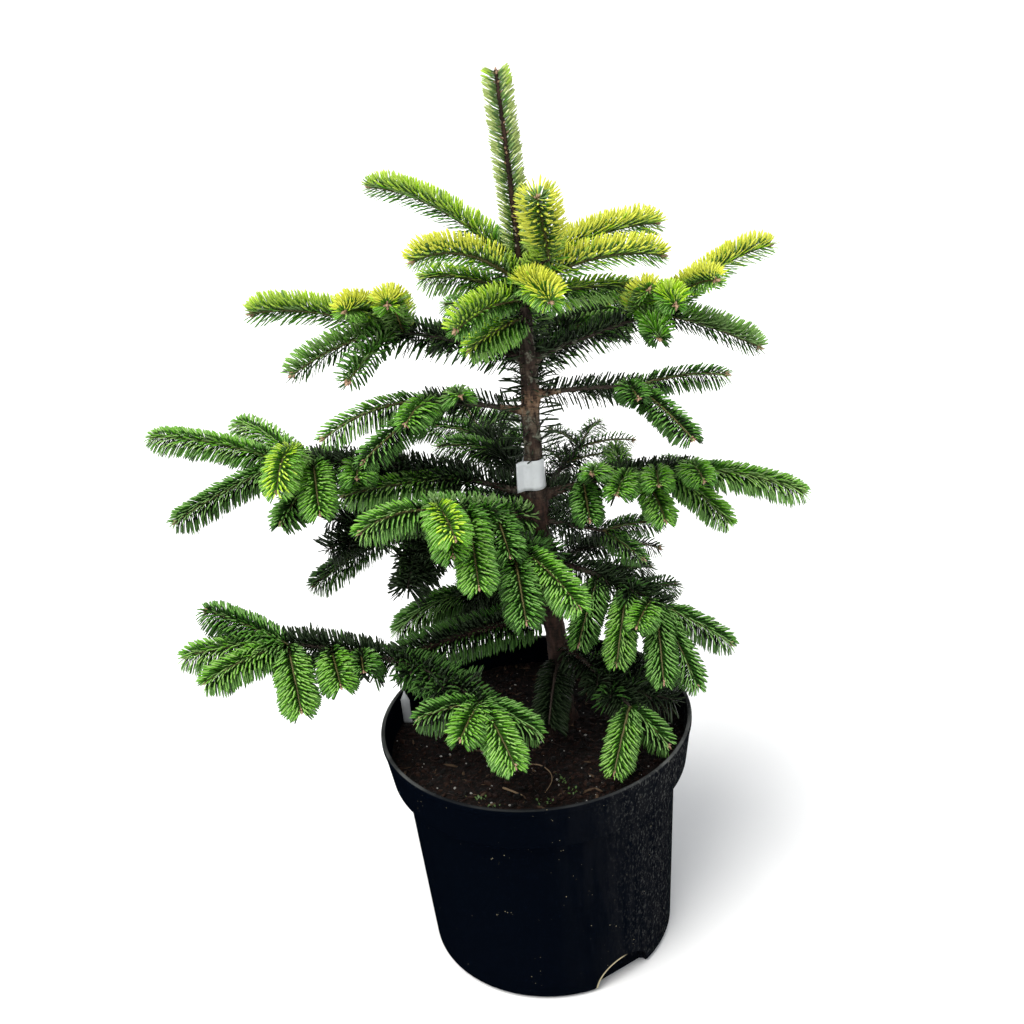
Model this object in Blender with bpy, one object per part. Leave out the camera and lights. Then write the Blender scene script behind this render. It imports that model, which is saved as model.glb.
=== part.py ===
"""A young nordmann fir in a black nursery pot, 0.84 m tall with the pot, as separate solids.

The pot's underside is centred on the origin and +Z is up. The trunk, each bough's bare limb and each
mass of needles is an object of its own. A mass is one stem that carries on from its limb, or starts at
the trunk, with side shoots. Each shoot is a thin ridged blade, and the teeth along its edges are sprays
of needles. Headings are in degrees: 0 is to the right (+X), 90 is away (+Y), 180 is to the left.
"""

import math
import random
from collections import namedtuple

import bmesh
import bpy
import numpy as np

for old_object in list(bpy.data.objects):
    bpy.data.objects.remove(old_object, do_unlink=True)

# Room between two pieces that touch on the real plant
GAP = 0.0003

# Pot: a moulded collar, a tapering wall and drainage arches in a thick foot
POT_HEIGHT = 0.247
RIM_RADIUS = 0.150
RIM_LIP = 0.004
RIM_BAND = 0.004
COLLAR_HEIGHT = 0.048
COLLAR_FOOT_RADIUS = 0.1435
BODY_TOP_RADIUS = 0.132
BASE_RADIUS = 0.121
BASE_CHAMFER = 0.008
EDGE = 0.001
POT_WALL = 0.0018
POT_FLOOR = 0.004
FOOT_HEIGHT = 0.036
FOOT_SLOPE = 0.004
FOOT_THICKNESS = 0.019
POT_SIDES = 40
ARCH_RADIUS = 0.031
ARCH_DEPTH = 0.014
ARCH_SIDES = 20
ARCH_HEADINGS = (305, 35, 125)

# Compost, heaped unevenly but flat where the trunk and the tag stand
SOIL_LEVEL = 0.217
SOIL_RELIEF = 0.003
SOIL_SIDES = 24
SOIL_RINGS = (1.0, 0.9, 0.72, 0.54, 0.36, 0.18)
FLAT_SPOT = 0.022
BROAD_HEAPS = (61, 53)
FINE_HEAPS = (117, -97)
FINE_SHARE = 0.6

# Trunk: (height, x) of its centre and (height, radius) of its girth
TRUNK_Y = 0.030
TRUNK_LINE = (
    (0.217, 0.0270),
    (0.300, 0.0260),
    (0.400, 0.0200),
    (0.470, 0.0180),
    (0.620, 0.0210),
    (0.720, 0.0195),
    (0.840, 0.0142),
)
TRUNK_GIRTH = (
    (0.217, 0.0122),
    (0.240, 0.0102),
    (0.350, 0.0092),
    (0.475, 0.0085),
    (0.575, 0.0073),
    (0.640, 0.0060),
    (0.680, 0.0031),
    (0.820, 0.0018),
    (0.836, 0.0016),
)
TRUNK_TIP = 0.838
TRUNK_SIDES = 12
TRUNK_STEP = 0.026
TIP_ROUND = 0.006
TIP_SHARE = 0.4
FLARE_HEIGHT = 0.030
FLARE_RINGS = (0.0, 0.006, 0.014)
FLARE_LOBES = 5
FLARE_LOBE = 0.0012

# Wrap label: a band round the trunk whose joined ends stand out as a flag
LABEL_FOOT = 0.473
LABEL_HEIGHT = 0.029
LABEL_RADIUS = 0.0094
LABEL_THICKNESS = 0.0005
LABEL_FLAG = 0.011
LABEL_NECK = 0.0132
LABEL_SPREAD = 0.00045
LABEL_HEADING = 218
LABEL_PINCH = 30
LABEL_SIDES = 20

# Pointed tag that stands in the compost
TAG_PLACE = (-0.131, 0.042)
TAG_WIDTH = 0.009
TAG_HEIGHT = 0.038
TAG_POINT = 0.010
TAG_THICKNESS = 0.0012
TAG_HEADING = 350

# Limbs and stems: (height, radius) of a limb where it leaves the trunk
LIMB_RADIUS = ((0.30, 0.0044), (0.46, 0.0046), (0.60, 0.0034))
LIMB_TAPER = 0.62
LIMB_SIDES = 7
LIMB_RING_STEP = 0.014
TOP_STEM_RADIUS = 0.0024
SHOOT_RADIUS = 0.0017
TIP_RADIUS = 0.0008
STEM_STEP = 0.004
LEAST_SHOOT = 0.028
LAST_FORK = 0.985
BUD = 0.003

# Sprays of needles: their reach eases in from a shoot's foot and out to its tip
NEEDLE = 0.0185
NEEDLE_SWEEP = 30
TOOTH_PITCH = 0.0172
LEAST_TOOTH = 0.0045
FLAT_LIFT = 20
FOOT_REACH = (0.70, 1.5)
TIP_REACH = (0.72, 1.6)

# Room that a needle and a stem keep to what other masses hold
NEEDLE_SPACE = 0.0013
STEM_SPACE = 0.0006

# The leader's needles, rings of upswept spikes round the top of the trunk
LEADER_FOOT = 0.692
LEADER_TOP = 0.835
LEADER_RINGS = 16
LEADER_SIDES = 8
LEADER_REACH = 0.018
LEADER_SWEEP = 48
LEADER_SKIN = 0.0012
LEADER_GIRTH = 0.004

# A shoot leaves its stem at a share of the stem's length, turned off the stem's heading
Shoot = namedtuple("Shoot", "along turn rise length arch")
# A bough leaves the trunk at a height; bare is the share of it that is limb, lift tips its needles up
Bough = namedtuple("Bough", "height heading rise length arch bare lift shoots")

BOUGHS = {
    # Top whorl: single shoots of the last year
    "top_back_left": Bough(0.674, 159, 28, 0.152, 0.10, 0, 40, ()),
    "top_left": Bough(0.662, 196, 20, 0.097, 0.16, 0, 40, ()),
    "top_mid_left": Bough(0.647, 170, 15, 0.090, 0.10, 0, 24, ()),
    "top_front_left": Bough(0.648, 230, -2, 0.085, 0.08, 0, 35, ()),
    "top_low_left": Bough(0.632, 214, -15, 0.060, 0.06, 0, 20, ()),
    "top_front": Bough(0.664, 325, 36, 0.038, 0.02, 0, 40, (
        Shoot(1.00, -66, 64, 0.063, 0.04),
    )),
    "top_back_right": Bough(0.666, 28, 10, 0.139, 0.08, 0, 40, ()),
    "top_right": Bough(0.656, 4, 9, 0.123, 0.10, 0, 40, ()),
    "top_low_right": Bough(0.645, 22, -2, 0.105, 0.06, 0, 20, ()),
    "top_near": Bough(0.660, 287, 5, 0.085, 0.06, 0, 35, ()),
    "top_back": Bough(0.660, 82, 16, 0.110, 0.06, 0, 35, ()),
    # Second whorl
    "second_left": Bough(0.594, 168, 12, 0.134, 0.04, 0.35, 30, (
        Shoot(1.00, 20, 15, 0.115, 0.08),
        Shoot(0.97, 45, -10, 0.095, 0.06),
        Shoot(0.90, 80, -10, 0.090, 0.04),
        Shoot(0.97, 80, 30, 0.075, 0.12),
        Shoot(0.85, 100, 35, 0.075, 0.12),
    )),
    "second_right": Bough(0.593, 14, 12, 0.133, 0.02, 0.35, 30, (
        Shoot(1.00, 0, 25, 0.105, 0.08),
        Shoot(1.00, -70, 30, 0.075, 0.10),
        Shoot(0.92, -95, 20, 0.080, 0.12),
        Shoot(0.92, -25, -20, 0.095, 0.04),
        Shoot(0.84, -100, 0, 0.070, 0.04),
        Shoot(0.75, -90, 40, 0.060, 0.08),
    )),
    # Third whorl
    "third_left": Bough(0.546, 182, 11, 0.091, 0.02, 0.30, 15, (
        Shoot(1.00, 20, -8, 0.100, 0.10),
        Shoot(0.90, 50, -12, 0.100, 0.04),
        Shoot(0.95, 75, 6, 0.075, 0.08),
        Shoot(0.75, 100, 25, 0.050, 0.08),
    )),
    "third_right": Bough(0.561, 356, 2, 0.093, 0.03, 0.30, 15, (
        Shoot(1.00, 0, 5, 0.080, 0.06),
        Shoot(0.98, -65, -6, 0.110, 0.03),
        Shoot(0.92, -80, 10, 0.065, 0.06),
    )),
    # Fourth whorl, the widest
    "fourth_left": Bough(0.462, 176, 11, 0.235, 0.05, 0.18, 20, (
        Shoot(1.00, 0, 15, 0.125, 0.05),
        Shoot(1.00, 30, -15, 0.115, 0.04),
        Shoot(0.93, -36, 15, 0.090, 0.06),
        Shoot(0.93, 90, 6, 0.085, 0.25),
        Shoot(0.88, 105, -10, 0.085, 0.10),
        Shoot(0.85, 70, -20, 0.080, 0.02),
        Shoot(0.70, 100, 10, 0.060, 0.06),
        Shoot(0.28, 20, 2, 0.110, 0.03),
    )),
    "fourth_front_left": Bough(0.439, 227, 25, 0.140, 0.03, 0.30, 20, (
        Shoot(1.00, -20, -2, 0.065, 0.10),
        Shoot(1.00, 60, 5, 0.075, 0.12),
        Shoot(0.90, 55, -15, 0.060, 0.04),
        Shoot(0.70, 50, -15, 0.100, 0.06),
        Shoot(0.42, 55, -12, 0.065, 0.04),
    )),
    "fourth_front": Bough(0.413, 252, 20, 0.080, 0.03, 0, 15, (
        Shoot(1.00, 25, -15, 0.085, 0.08),
        Shoot(0.80, 50, -10, 0.095, 0.08),
    )),
    "fourth_right": Bough(0.462, 8, 3, 0.144, 0.05, 0.30, 20, (
        Shoot(1.00, -15, -13, 0.105, 0.05),
        Shoot(0.55, 85, 5, 0.060, 0.05),
        Shoot(0.45, -110, 27, 0.065, 0.08),
        Shoot(0.62, -110, 10, 0.075, 0.06),
        Shoot(0.78, -100, 13, 0.070, 0.06),
        Shoot(1.00, -90, 15, 0.070, 0.12),
        Shoot(0.85, -40, -35, 0.072, 0.04),
        Shoot(0.30, -95, -10, 0.060, 0.05),
        Shoot(0.70, -85, -18, 0.068, 0.05),
    )),
    "fourth_low_right": Bough(0.440, 352, -12, 0.060, 0.00, 0, 10, (
        Shoot(1.00, 15, 2, 0.055, 0.05),
        Shoot(1.00, -20, -30, 0.045, 0.03),
    )),
    # Fifth whorl, drooping
    "fifth_back_left": Bough(0.413, 160, 5, 0.147, 0.03, 0.30, 15, (
        Shoot(1.00, 25, -33, 0.110, 0.00),
        Shoot(0.80, 100, -20, 0.085, 0.03),
        Shoot(1.00, 0, -10, 0.065, 0.03),
        Shoot(0.60, 70, -25, 0.080, 0.03),
        Shoot(1.00, 50, -5, 0.080, 0.05),
        Shoot(0.85, 30, 10, 0.090, 0.05),
        Shoot(1.00, -20, 12, 0.090, 0.05),
    )),
    "fifth_left": Bough(0.381, 160, -20, 0.090, 0.06, 0, 10, (
        Shoot(1.00, 20, -25, 0.080, 0.10),
    )),
    "fifth_right": Bough(0.397, 345, -21, 0.120, 0.06, 0.30, 10, (
        Shoot(1.00, 0, -29, 0.070, 0.04),
        Shoot(0.70, -90, -38, 0.075, 0.05),
        Shoot(0.45, -100, -38, 0.070, 0.05),
        Shoot(0.95, -75, -37, 0.078, 0.05),
        Shoot(0.95, -40, -50, 0.085, 0.05),
        Shoot(0.90, -95, 0, 0.050, 0.05),
    )),
    # Lowest shoots, over the pot; the left one is a bare limb up to its fork
    "low_left": Bough(0.338, 205, 0, 0.160, 0.04, 1.0, 15, ()),
    "low_right": Bough(0.310, 310, -17, 0.105, 0.05, 0.35, 10, (
        Shoot(1.00, -60, -32, 0.065, 0.04),
        Shoot(1.00, 20, -41, 0.050, 0.04),
    )),
    "low_near": Bough(0.287, 261, -16, 0.080, 0.10, 0, 10, ()),
}

# The two masses that start at the low left limb's fork, and so have no height of their own
FORK_LIMB = "low_left"
FORK_MASSES = {
    "low_left_outer": Bough(None, 186, 18, 0.099, 0.03, 0, 15, (
        Shoot(1.00, 6, 3, 0.090, 0.05),
        Shoot(1.00, -15, 25, 0.080, 0.03),
        Shoot(1.00, 30, -4, 0.080, 0.05),
        Shoot(1.00, 100, -22, 0.075, 0.04),
        Shoot(0.60, 100, -5, 0.060, 0.04),
        Shoot(0.30, 95, 10, 0.045, 0.04),
    )),
    "low_left_inner": Bough(None, 320, -4, 0.105, 0.06, 0, 15, (
        Shoot(1.00, -26, -16, 0.075, 0.06),
        Shoot(1.00, -120, 0, 0.055, 0.06),
        Shoot(1.00, -65, 0, 0.055, 0.06),
        Shoot(1.00, 26, -28, 0.055, 0.06),
    )),
}
# How far from the middle of the limb's end each of them starts, and its stem's radius there
FORK_OFFSETS = {"low_left_outer": 0.0013, "low_left_inner": 0.0042}
FORK_STEMS = {"low_left_outer": 0.0027, "low_left_inner": 0.0017}

# Boughs on the far side, which fork by rule: (height, heading, rise, length)
FAR_BOUGHS = {
    "second_back_left": (0.588, 106, 10, 0.105),
    "second_back_right": (0.583, 58, 10, 0.115),
    "third_back": (0.552, 90, 6, 0.150),
    "fourth_back_left": (0.455, 112, 7, 0.150),
    "fourth_back_right": (0.452, 70, 4, 0.125),
    "fifth_back": (0.398, 98, -4, 0.150),
    "fifth_back_right": (0.385, 55, -8, 0.105),
    "low_back_left": (0.350, 132, -20, 0.100),
}
FAR_BARE = 0.30
FAR_LIFT = 15
FAR_ARCH = 0.05
FAR_LEAD = 0.62
FAR_WANDER = (8, 6)
FAR_FORKS = ((1.0, 0.52), (0.60, 0.46))
FAR_TURN = (40, 55)
FAR_DIP = (-10, 2)
FAR_SPREAD = (0.9, 1.1)
FAR_SHOOT_ARCH = 0.06

# Side shoots on the far side of the boughs that lean left or right, by rule
SIDE_SHARES = (0.48, 0.80)
SIDE_SLIP = 0.05
SIDE_TURN = (48, 66)
SIDE_RISE = (-20, -10)
SIDE_LENGTH = (0.050, 0.068)
SIDE_ARCH = 0.05

UP = np.array([0.0, 0.0, 1.0])


def smooth_value(table, at):
    """A smooth curve through the table's points: Catmull-Rom slopes on cubic pieces."""
    xs = np.array([row[0] for row in table])
    ys = np.array([row[1] for row in table])
    at = float(np.clip(at, xs[0], xs[-1]))
    i = int(np.clip(np.searchsorted(xs, at) - 1, 0, len(xs) - 2))
    slopes = np.gradient(ys, xs)
    span = xs[i + 1] - xs[i]
    t = (at - xs[i]) / span
    start = (1 + 2 * t) * (1 - t) ** 2 * ys[i] + t * (1 - t) ** 2 * span * slopes[i]
    end = t * t * (3 - 2 * t) * ys[i + 1] - t * t * (1 - t) * span * slopes[i + 1]
    return start + end


def trunk_centre(height):
    return np.array([smooth_value(TRUNK_LINE, height), TRUNK_Y, height])


def trunk_radius(height):
    heights, radii = zip(*TRUNK_GIRTH)
    return float(np.interp(height, heights, radii))


def trunk_surface(height, angle):
    """The faceted trunk's radius at an angle: least in the middle of a side."""
    half = math.pi / TRUNK_SIDES
    return trunk_radius(height) * math.cos(half) / math.cos(angle % (2 * half) - half)


def limb_radius(height):
    heights, radii = zip(*LIMB_RADIUS)
    return float(np.interp(height, heights, radii))


def direction(heading, rise):
    turn, tilt = math.radians(heading), math.radians(rise)
    return np.array([math.cos(tilt) * math.cos(turn), math.cos(tilt) * math.sin(turn), math.sin(tilt)])


def arc(start, heading, rise, length, arch, first=0.0, last=1.0):
    """Points a few millimetres apart along a stem that rises over its chord and droops again."""
    count = max(3, round(length * (last - first) / STEM_STEP) + 1)
    t = np.linspace(first, last, count)[:, None]
    return start + t * length * direction(heading, rise) + t * (1 - t) * 4 * arch * length * UP


def bough_path(bough, start, first=0.0, last=1.0):
    return arc(start, bough.heading, bough.rise, bough.length, bough.arch, first, last)


def tangents(path):
    slopes = np.gradient(path, axis=0)
    return slopes / np.linalg.norm(slopes, axis=1)[:, None]


def frames(path):
    """For each point, the direction of travel and the two that cross it, sideways and upward."""
    along = tangents(path)
    side = np.cross(along, UP)
    side /= np.linalg.norm(side, axis=1)[:, None]
    return along, side, np.cross(side, along)


def resample(path, count):
    steps = np.linalg.norm(np.diff(path, axis=0), axis=1)
    run = np.concatenate([[0], np.cumsum(steps)])
    at = np.linspace(0, run[-1], count)
    return np.stack([np.interp(at, run, path[:, k]) for k in range(3)], axis=1)


def path_length(path):
    return float(np.linalg.norm(np.diff(path, axis=0), axis=1).sum())


def distances(points, spots):
    """The distance from each point to each spot, as a table."""
    return np.linalg.norm(points[:, None] - spots[None], axis=2)


def round_corners(sides):
    angles = [2 * math.pi * k / sides for k in range(sides)]
    return [(math.cos(a), math.sin(a)) for a in angles]


def stem_corners(lift):
    """Right, left and under a stem; a blade whose needles tip up also has a ridge along its top."""
    return [(1, 0), (0, 1), (-1, 0), (0, -1)] if lift > FLAT_LIFT else [(1, 0), (-1, 0), (0, -1)]


def first_clear_share(bough, radius, corners):
    """The share along a bough at which its end, given by its corners, just clears the trunk."""
    shares = np.linspace(0, 0.6, 600)
    length = bough.length * direction(bough.heading, bough.rise)
    sag = (shares * (1 - shares))[:, None] * 4 * bough.arch * bough.length * UP
    points = trunk_centre(bough.height) + shares[:, None] * length + sag
    _, side, upward = frames(points)
    for k, share in enumerate(shares):
        room = []
        for across, over in corners:
            corner = points[k] + radius * (across * side[k] + over * upward[k])
            x, y, _ = corner - trunk_centre(corner[2])
            room.append(math.hypot(x, y) - trunk_surface(corner[2], math.atan2(y, x)))
        if min(room) > GAP:
            return share
    raise ValueError("the bough never clears the trunk")


def material(name, colour, roughness):
    made = bpy.data.materials.new(name)
    made.use_nodes = True
    shader = made.node_tree.nodes["Principled BSDF"]
    shader.inputs["Base Color"].default_value = (*colour, 1.0)
    shader.inputs["Roughness"].default_value = roughness
    shader.inputs["Metallic"].default_value = 0.0
    made.diffuse_color = (*colour, 1.0)
    return made


def new_object(name, points, faces, finish, smooth_degrees=None):
    mesh = bpy.data.meshes.new(name)
    mesh.from_pydata([tuple(map(float, p)) for p in points], [], [tuple(f) for f in faces])
    shape = bmesh.new()
    shape.from_mesh(mesh)
    bmesh.ops.recalc_face_normals(shape, faces=shape.faces)
    shape.to_mesh(mesh)
    shape.free()
    mesh.materials.append(finish)
    made = bpy.data.objects.new(name, mesh)
    bpy.context.collection.objects.link(made)
    if smooth_degrees:
        mesh.shade_smooth()
        mesh.set_sharp_from_angle(angle=math.radians(smooth_degrees))
    return made


def stitched(rings, cap_first=True, cap_last=True):
    """Faces between rings of equal size, given as one list of points; flat caps close the ends."""
    size = len(rings[0])
    points = [p for ring in rings for p in ring]
    faces = []
    for i in range(len(rings) - 1):
        for j in range(size):
            a, b = i * size + j, i * size + (j + 1) % size
            faces.append((a, b, b + size, a + size))
    if cap_first:
        faces.append(tuple(range(size)))
    if cap_last:
        faces.append(tuple(range(len(points) - size, len(points))))
    return points, faces


def circle(centre, radius, sides, height):
    return [(centre[0] + radius * a, centre[1] + radius * b, height) for a, b in round_corners(sides)]


def drop_scraps(mesh):
    """Keep the largest body; two that only meet at a point or along an edge count as two."""
    shape = bmesh.new()
    shape.from_mesh(mesh)
    left, bodies = set(shape.faces), []
    while left:
        body, reach = [], [left.pop()]
        while reach:
            face = reach.pop()
            body.append(face)
            for edge in face.edges:
                pair = edge.link_faces if len(edge.link_faces) == 2 else ()
                fresh = [other for other in pair if other in left]
                left.difference_update(fresh)
                reach += fresh
        bodies.append(body)
    bodies.sort(key=len, reverse=True)
    for body in bodies[1:]:
        bmesh.ops.delete(shape, geom=body, context="FACES")
    shape.to_mesh(mesh)
    shape.free()


def boolean(target, operation, others):
    """Join the other objects to the target, or cut them out of it, in one step."""
    group = bpy.data.collections.new("operands")
    for other in others:
        group.objects.link(other)
    step = target.modifiers.new(operation.title(), "BOOLEAN")
    step.operation = operation
    step.operand_type = "COLLECTION"
    step.collection = group
    step.solver = "EXACT"
    graph = bpy.context.evaluated_depsgraph_get()
    made = bpy.data.meshes.new_from_object(target.evaluated_get(graph))
    target.modifiers.clear()
    target.data = made
    for other in others:
        bpy.data.objects.remove(other, do_unlink=True)
    bpy.data.collections.remove(group)
    drop_scraps(target.data)
    return target


def cavity_outline():
    """(radius, height) of the pot's inside from the floor up to the collar's top, without the lip."""
    collar_foot = POT_HEIGHT - COLLAR_HEIGHT
    foot_top = BASE_RADIUS + (BODY_TOP_RADIUS - BASE_RADIUS) * FOOT_HEIGHT / collar_foot
    return [
        (BASE_RADIUS - FOOT_THICKNESS, POT_FLOOR),
        (BASE_RADIUS - FOOT_THICKNESS, FOOT_HEIGHT - FOOT_SLOPE),
        (foot_top - POT_WALL, FOOT_HEIGHT),
        (BODY_TOP_RADIUS - POT_WALL, collar_foot - EDGE),
        (COLLAR_FOOT_RADIUS - POT_WALL, collar_foot + 2 * EDGE),
        (RIM_RADIUS - RIM_LIP, POT_HEIGHT - RIM_BAND),
    ]


def build_arch(heading, finish):
    """A lying cylinder that cuts a half-round hollow into the pot's foot."""
    outward, across = direction(heading, 0), direction(heading + 90, 0)
    rings = []
    for depth in (BASE_RADIUS - ARCH_DEPTH, BASE_RADIUS + ARCH_RADIUS):
        middle = depth * outward
        rings.append([middle + ARCH_RADIUS * (a * across + b * UP) for a, b in round_corners(ARCH_SIDES)])
    return new_object("arch", *stitched(rings), finish)


def build_pot(finish):
    collar_foot = POT_HEIGHT - COLLAR_HEIGHT
    outside = [
        (BASE_RADIUS - BASE_CHAMFER, 0.0),
        (BASE_RADIUS, BASE_CHAMFER),
        (BODY_TOP_RADIUS, collar_foot - EDGE),
        (COLLAR_FOOT_RADIUS, collar_foot + EDGE),
        (RIM_RADIUS - EDGE, POT_HEIGHT - 2 * EDGE - RIM_BAND),
        (RIM_RADIUS, POT_HEIGHT - 2 * EDGE),
    ]
    lip = [(RIM_RADIUS - EDGE, POT_HEIGHT), (RIM_RADIUS - RIM_LIP + EDGE, POT_HEIGHT)]
    outline = outside + lip + cavity_outline()[::-1]
    rings = [circle((0, 0), radius, POT_SIDES, height) for radius, height in outline]
    pot = new_object("pot", *stitched(rings), finish, smooth_degrees=35)
    return boolean(pot, "DIFFERENCE", [build_arch(heading, finish) for heading in ARCH_HEADINGS])


def soil_height(x, y):
    """Gentle heaps and hollows, none where the trunk or the tag stands."""
    broad = math.sin(BROAD_HEAPS[0] * x + 1.3) * math.cos(BROAD_HEAPS[1] * y - 0.4)
    fine = math.sin(FINE_HEAPS[0] * x + FINE_HEAPS[1] * y)
    foot = trunk_centre(SOIL_LEVEL)
    room = min(math.hypot(x - foot[0], y - foot[1]), math.hypot(x - TAG_PLACE[0], y - TAG_PLACE[1]))
    spread = min(max((room - FLAT_SPOT) / FLAT_SPOT, 0.0), 1.0)
    return SOIL_LEVEL + SOIL_RELIEF * spread * (broad + FINE_SHARE * fine) / (1 + FINE_SHARE)


def build_soil(finish):
    heights = [height for _, height in cavity_outline()]
    radii = [radius for radius, _ in cavity_outline()]
    facet = math.cos(math.pi / POT_SIDES)
    rings = []
    for radius, height in cavity_outline()[:-1]:
        rings.append(circle((0, 0), radius * facet - GAP, SOIL_SIDES, height + GAP))
    wall = float(np.interp(SOIL_LEVEL, heights, radii)) * facet - GAP
    for share in SOIL_RINGS:
        ring = circle((0, 0), wall * share, SOIL_SIDES, SOIL_LEVEL)
        rings.append([(x, y, soil_height(x, y)) for x, y, _ in ring])
    return new_object("soil", *stitched(rings), finish)


def build_trunk(finish):
    foot = SOIL_LEVEL + GAP
    flare_top = foot + FLARE_HEIGHT
    heights = [foot + rise for rise in FLARE_RINGS] + [flare_top]
    heights += list(np.arange(flare_top + TRUNK_STEP, TRUNK_TIP - 2 * TIP_ROUND, TRUNK_STEP))
    heights += [TRUNK_TIP - TIP_ROUND, TRUNK_TIP]
    rings = []
    for height in heights:
        x, y, _ = trunk_centre(height)
        flare = max(0.0, 1 - (height - foot) / FLARE_HEIGHT)
        radius = trunk_radius(height) * (1.0 if height < TRUNK_TIP else TIP_SHARE)
        ring = []
        for k, (a, b) in enumerate(round_corners(TRUNK_SIDES)):
            lobe = math.sin(2 * math.pi * FLARE_LOBES * k / TRUNK_SIDES)
            out = radius + flare * FLARE_LOBE * lobe
            ring.append((x + out * a, y + out * b, height))
        rings.append(ring)
    return new_object("trunk", *stitched(rings), finish, smooth_degrees=50)


def build_label(finish):
    """One strip round the trunk, whose two ends come together and stand out side by side as a flag."""
    centre = trunk_centre(LABEL_FOOT)
    outward = direction(LABEL_HEADING, 0)
    beside = LABEL_SPREAD * direction(LABEL_HEADING + 90, 0)
    neck = centre + LABEL_NECK * outward
    end = centre + (LABEL_RADIUS + LABEL_FLAG) * outward
    headings = LABEL_HEADING + np.linspace(LABEL_PINCH, 360 - LABEL_PINCH, LABEL_SIDES)
    route = [end + beside, neck + beside]
    route += [centre + LABEL_RADIUS * direction(heading, 0) for heading in headings]
    route += [neck - beside, end - beside]
    offset = LABEL_THICKNESS / 2 * np.cross(tangents(np.array(route)), UP)
    outline = np.concatenate([route + offset, (route - offset)[::-1]])
    return new_object("plain_label", *stitched([outline, outline + LABEL_HEIGHT * UP]), finish)


def build_tag(finish):
    across, outward = direction(TAG_HEADING, 0), direction(TAG_HEADING - 90, 0)
    foot = SOIL_LEVEL + GAP
    half, top = TAG_WIDTH / 2, foot + TAG_HEIGHT
    outline = [(-half, foot), (half, foot), (half, top - TAG_POINT), (0.0, top), (-half, top - TAG_POINT)]
    rings = []
    for depth in (-TAG_THICKNESS / 2, TAG_THICKNESS / 2):
        place = np.array([*TAG_PLACE, 0.0]) + depth * outward
        rings.append([place + x * across + z * UP for x, z in outline])
    return new_object("plain_tag", *stitched(rings), finish)


def build_limb(name, path, thick, finish):
    """One bare tapering limb, round, with flat ends."""
    path = resample(path, max(3, round(path_length(path) / LIMB_RING_STEP) + 1))
    _, side, upward = frames(path)
    radii = np.linspace(thick, thick * LIMB_TAPER, len(path))
    corners = round_corners(LIMB_SIDES)
    rings = []
    for i in range(len(path)):
        rings.append([path[i] + radii[i] * (a * side[i] + b * upward[i]) for a, b in corners])
    return new_object(name, *stitched(rings), finish, smooth_degrees=60)


def far_side_shoots(name, bough):
    """Short drooping side shoots on the side away from the front, at a seeded turn and length."""
    rng = random.Random(name)
    side = 1 if math.cos(math.radians(bough.heading)) > 0 else -1
    shoots = []
    for share in SIDE_SHARES:
        along = share + rng.uniform(-SIDE_SLIP, SIDE_SLIP)
        turn = side * rng.uniform(*SIDE_TURN)
        rise = rng.uniform(*SIDE_RISE)
        shoots.append(Shoot(along, turn, rise, rng.uniform(*SIDE_LENGTH), SIDE_ARCH))
    return tuple(shoots)


def far_bough(name, height, heading, rise, length):
    """A bough that forks as firs do: the stem goes on, with a pair of side shoots at each year's end."""
    rng = random.Random(name)
    turn = rng.uniform(-FAR_WANDER[0], FAR_WANDER[0])
    lead_rise = rise + rng.uniform(-FAR_WANDER[1], FAR_WANDER[1])
    shoots = [Shoot(1.0, turn, lead_rise, length * FAR_LEAD, FAR_SHOOT_ARCH)]
    for along, share in FAR_FORKS:
        for side in (-1, 1):
            turn = side * rng.uniform(*FAR_TURN)
            dip = rng.uniform(*FAR_DIP)
            reach = length * share * rng.uniform(*FAR_SPREAD)
            shoots.append(Shoot(along, turn, rise + dip, reach, FAR_SHOOT_ARCH))
    return Bough(height, heading, rise, length, FAR_ARCH, FAR_BARE, FAR_LIFT, tuple(shoots))


def all_boughs():
    """Every bough that leaves the trunk, with the side shoots that the rules add."""
    boughs = {}
    for name, bough in BOUGHS.items():
        added = far_side_shoots(name, bough) if bough.bare and name != FORK_LIMB else ()
        boughs[name] = bough._replace(shoots=bough.shoots + added)
    for name, row in FAR_BOUGHS.items():
        boughs[name] = far_bough(name, *row)
    return boughs


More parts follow.
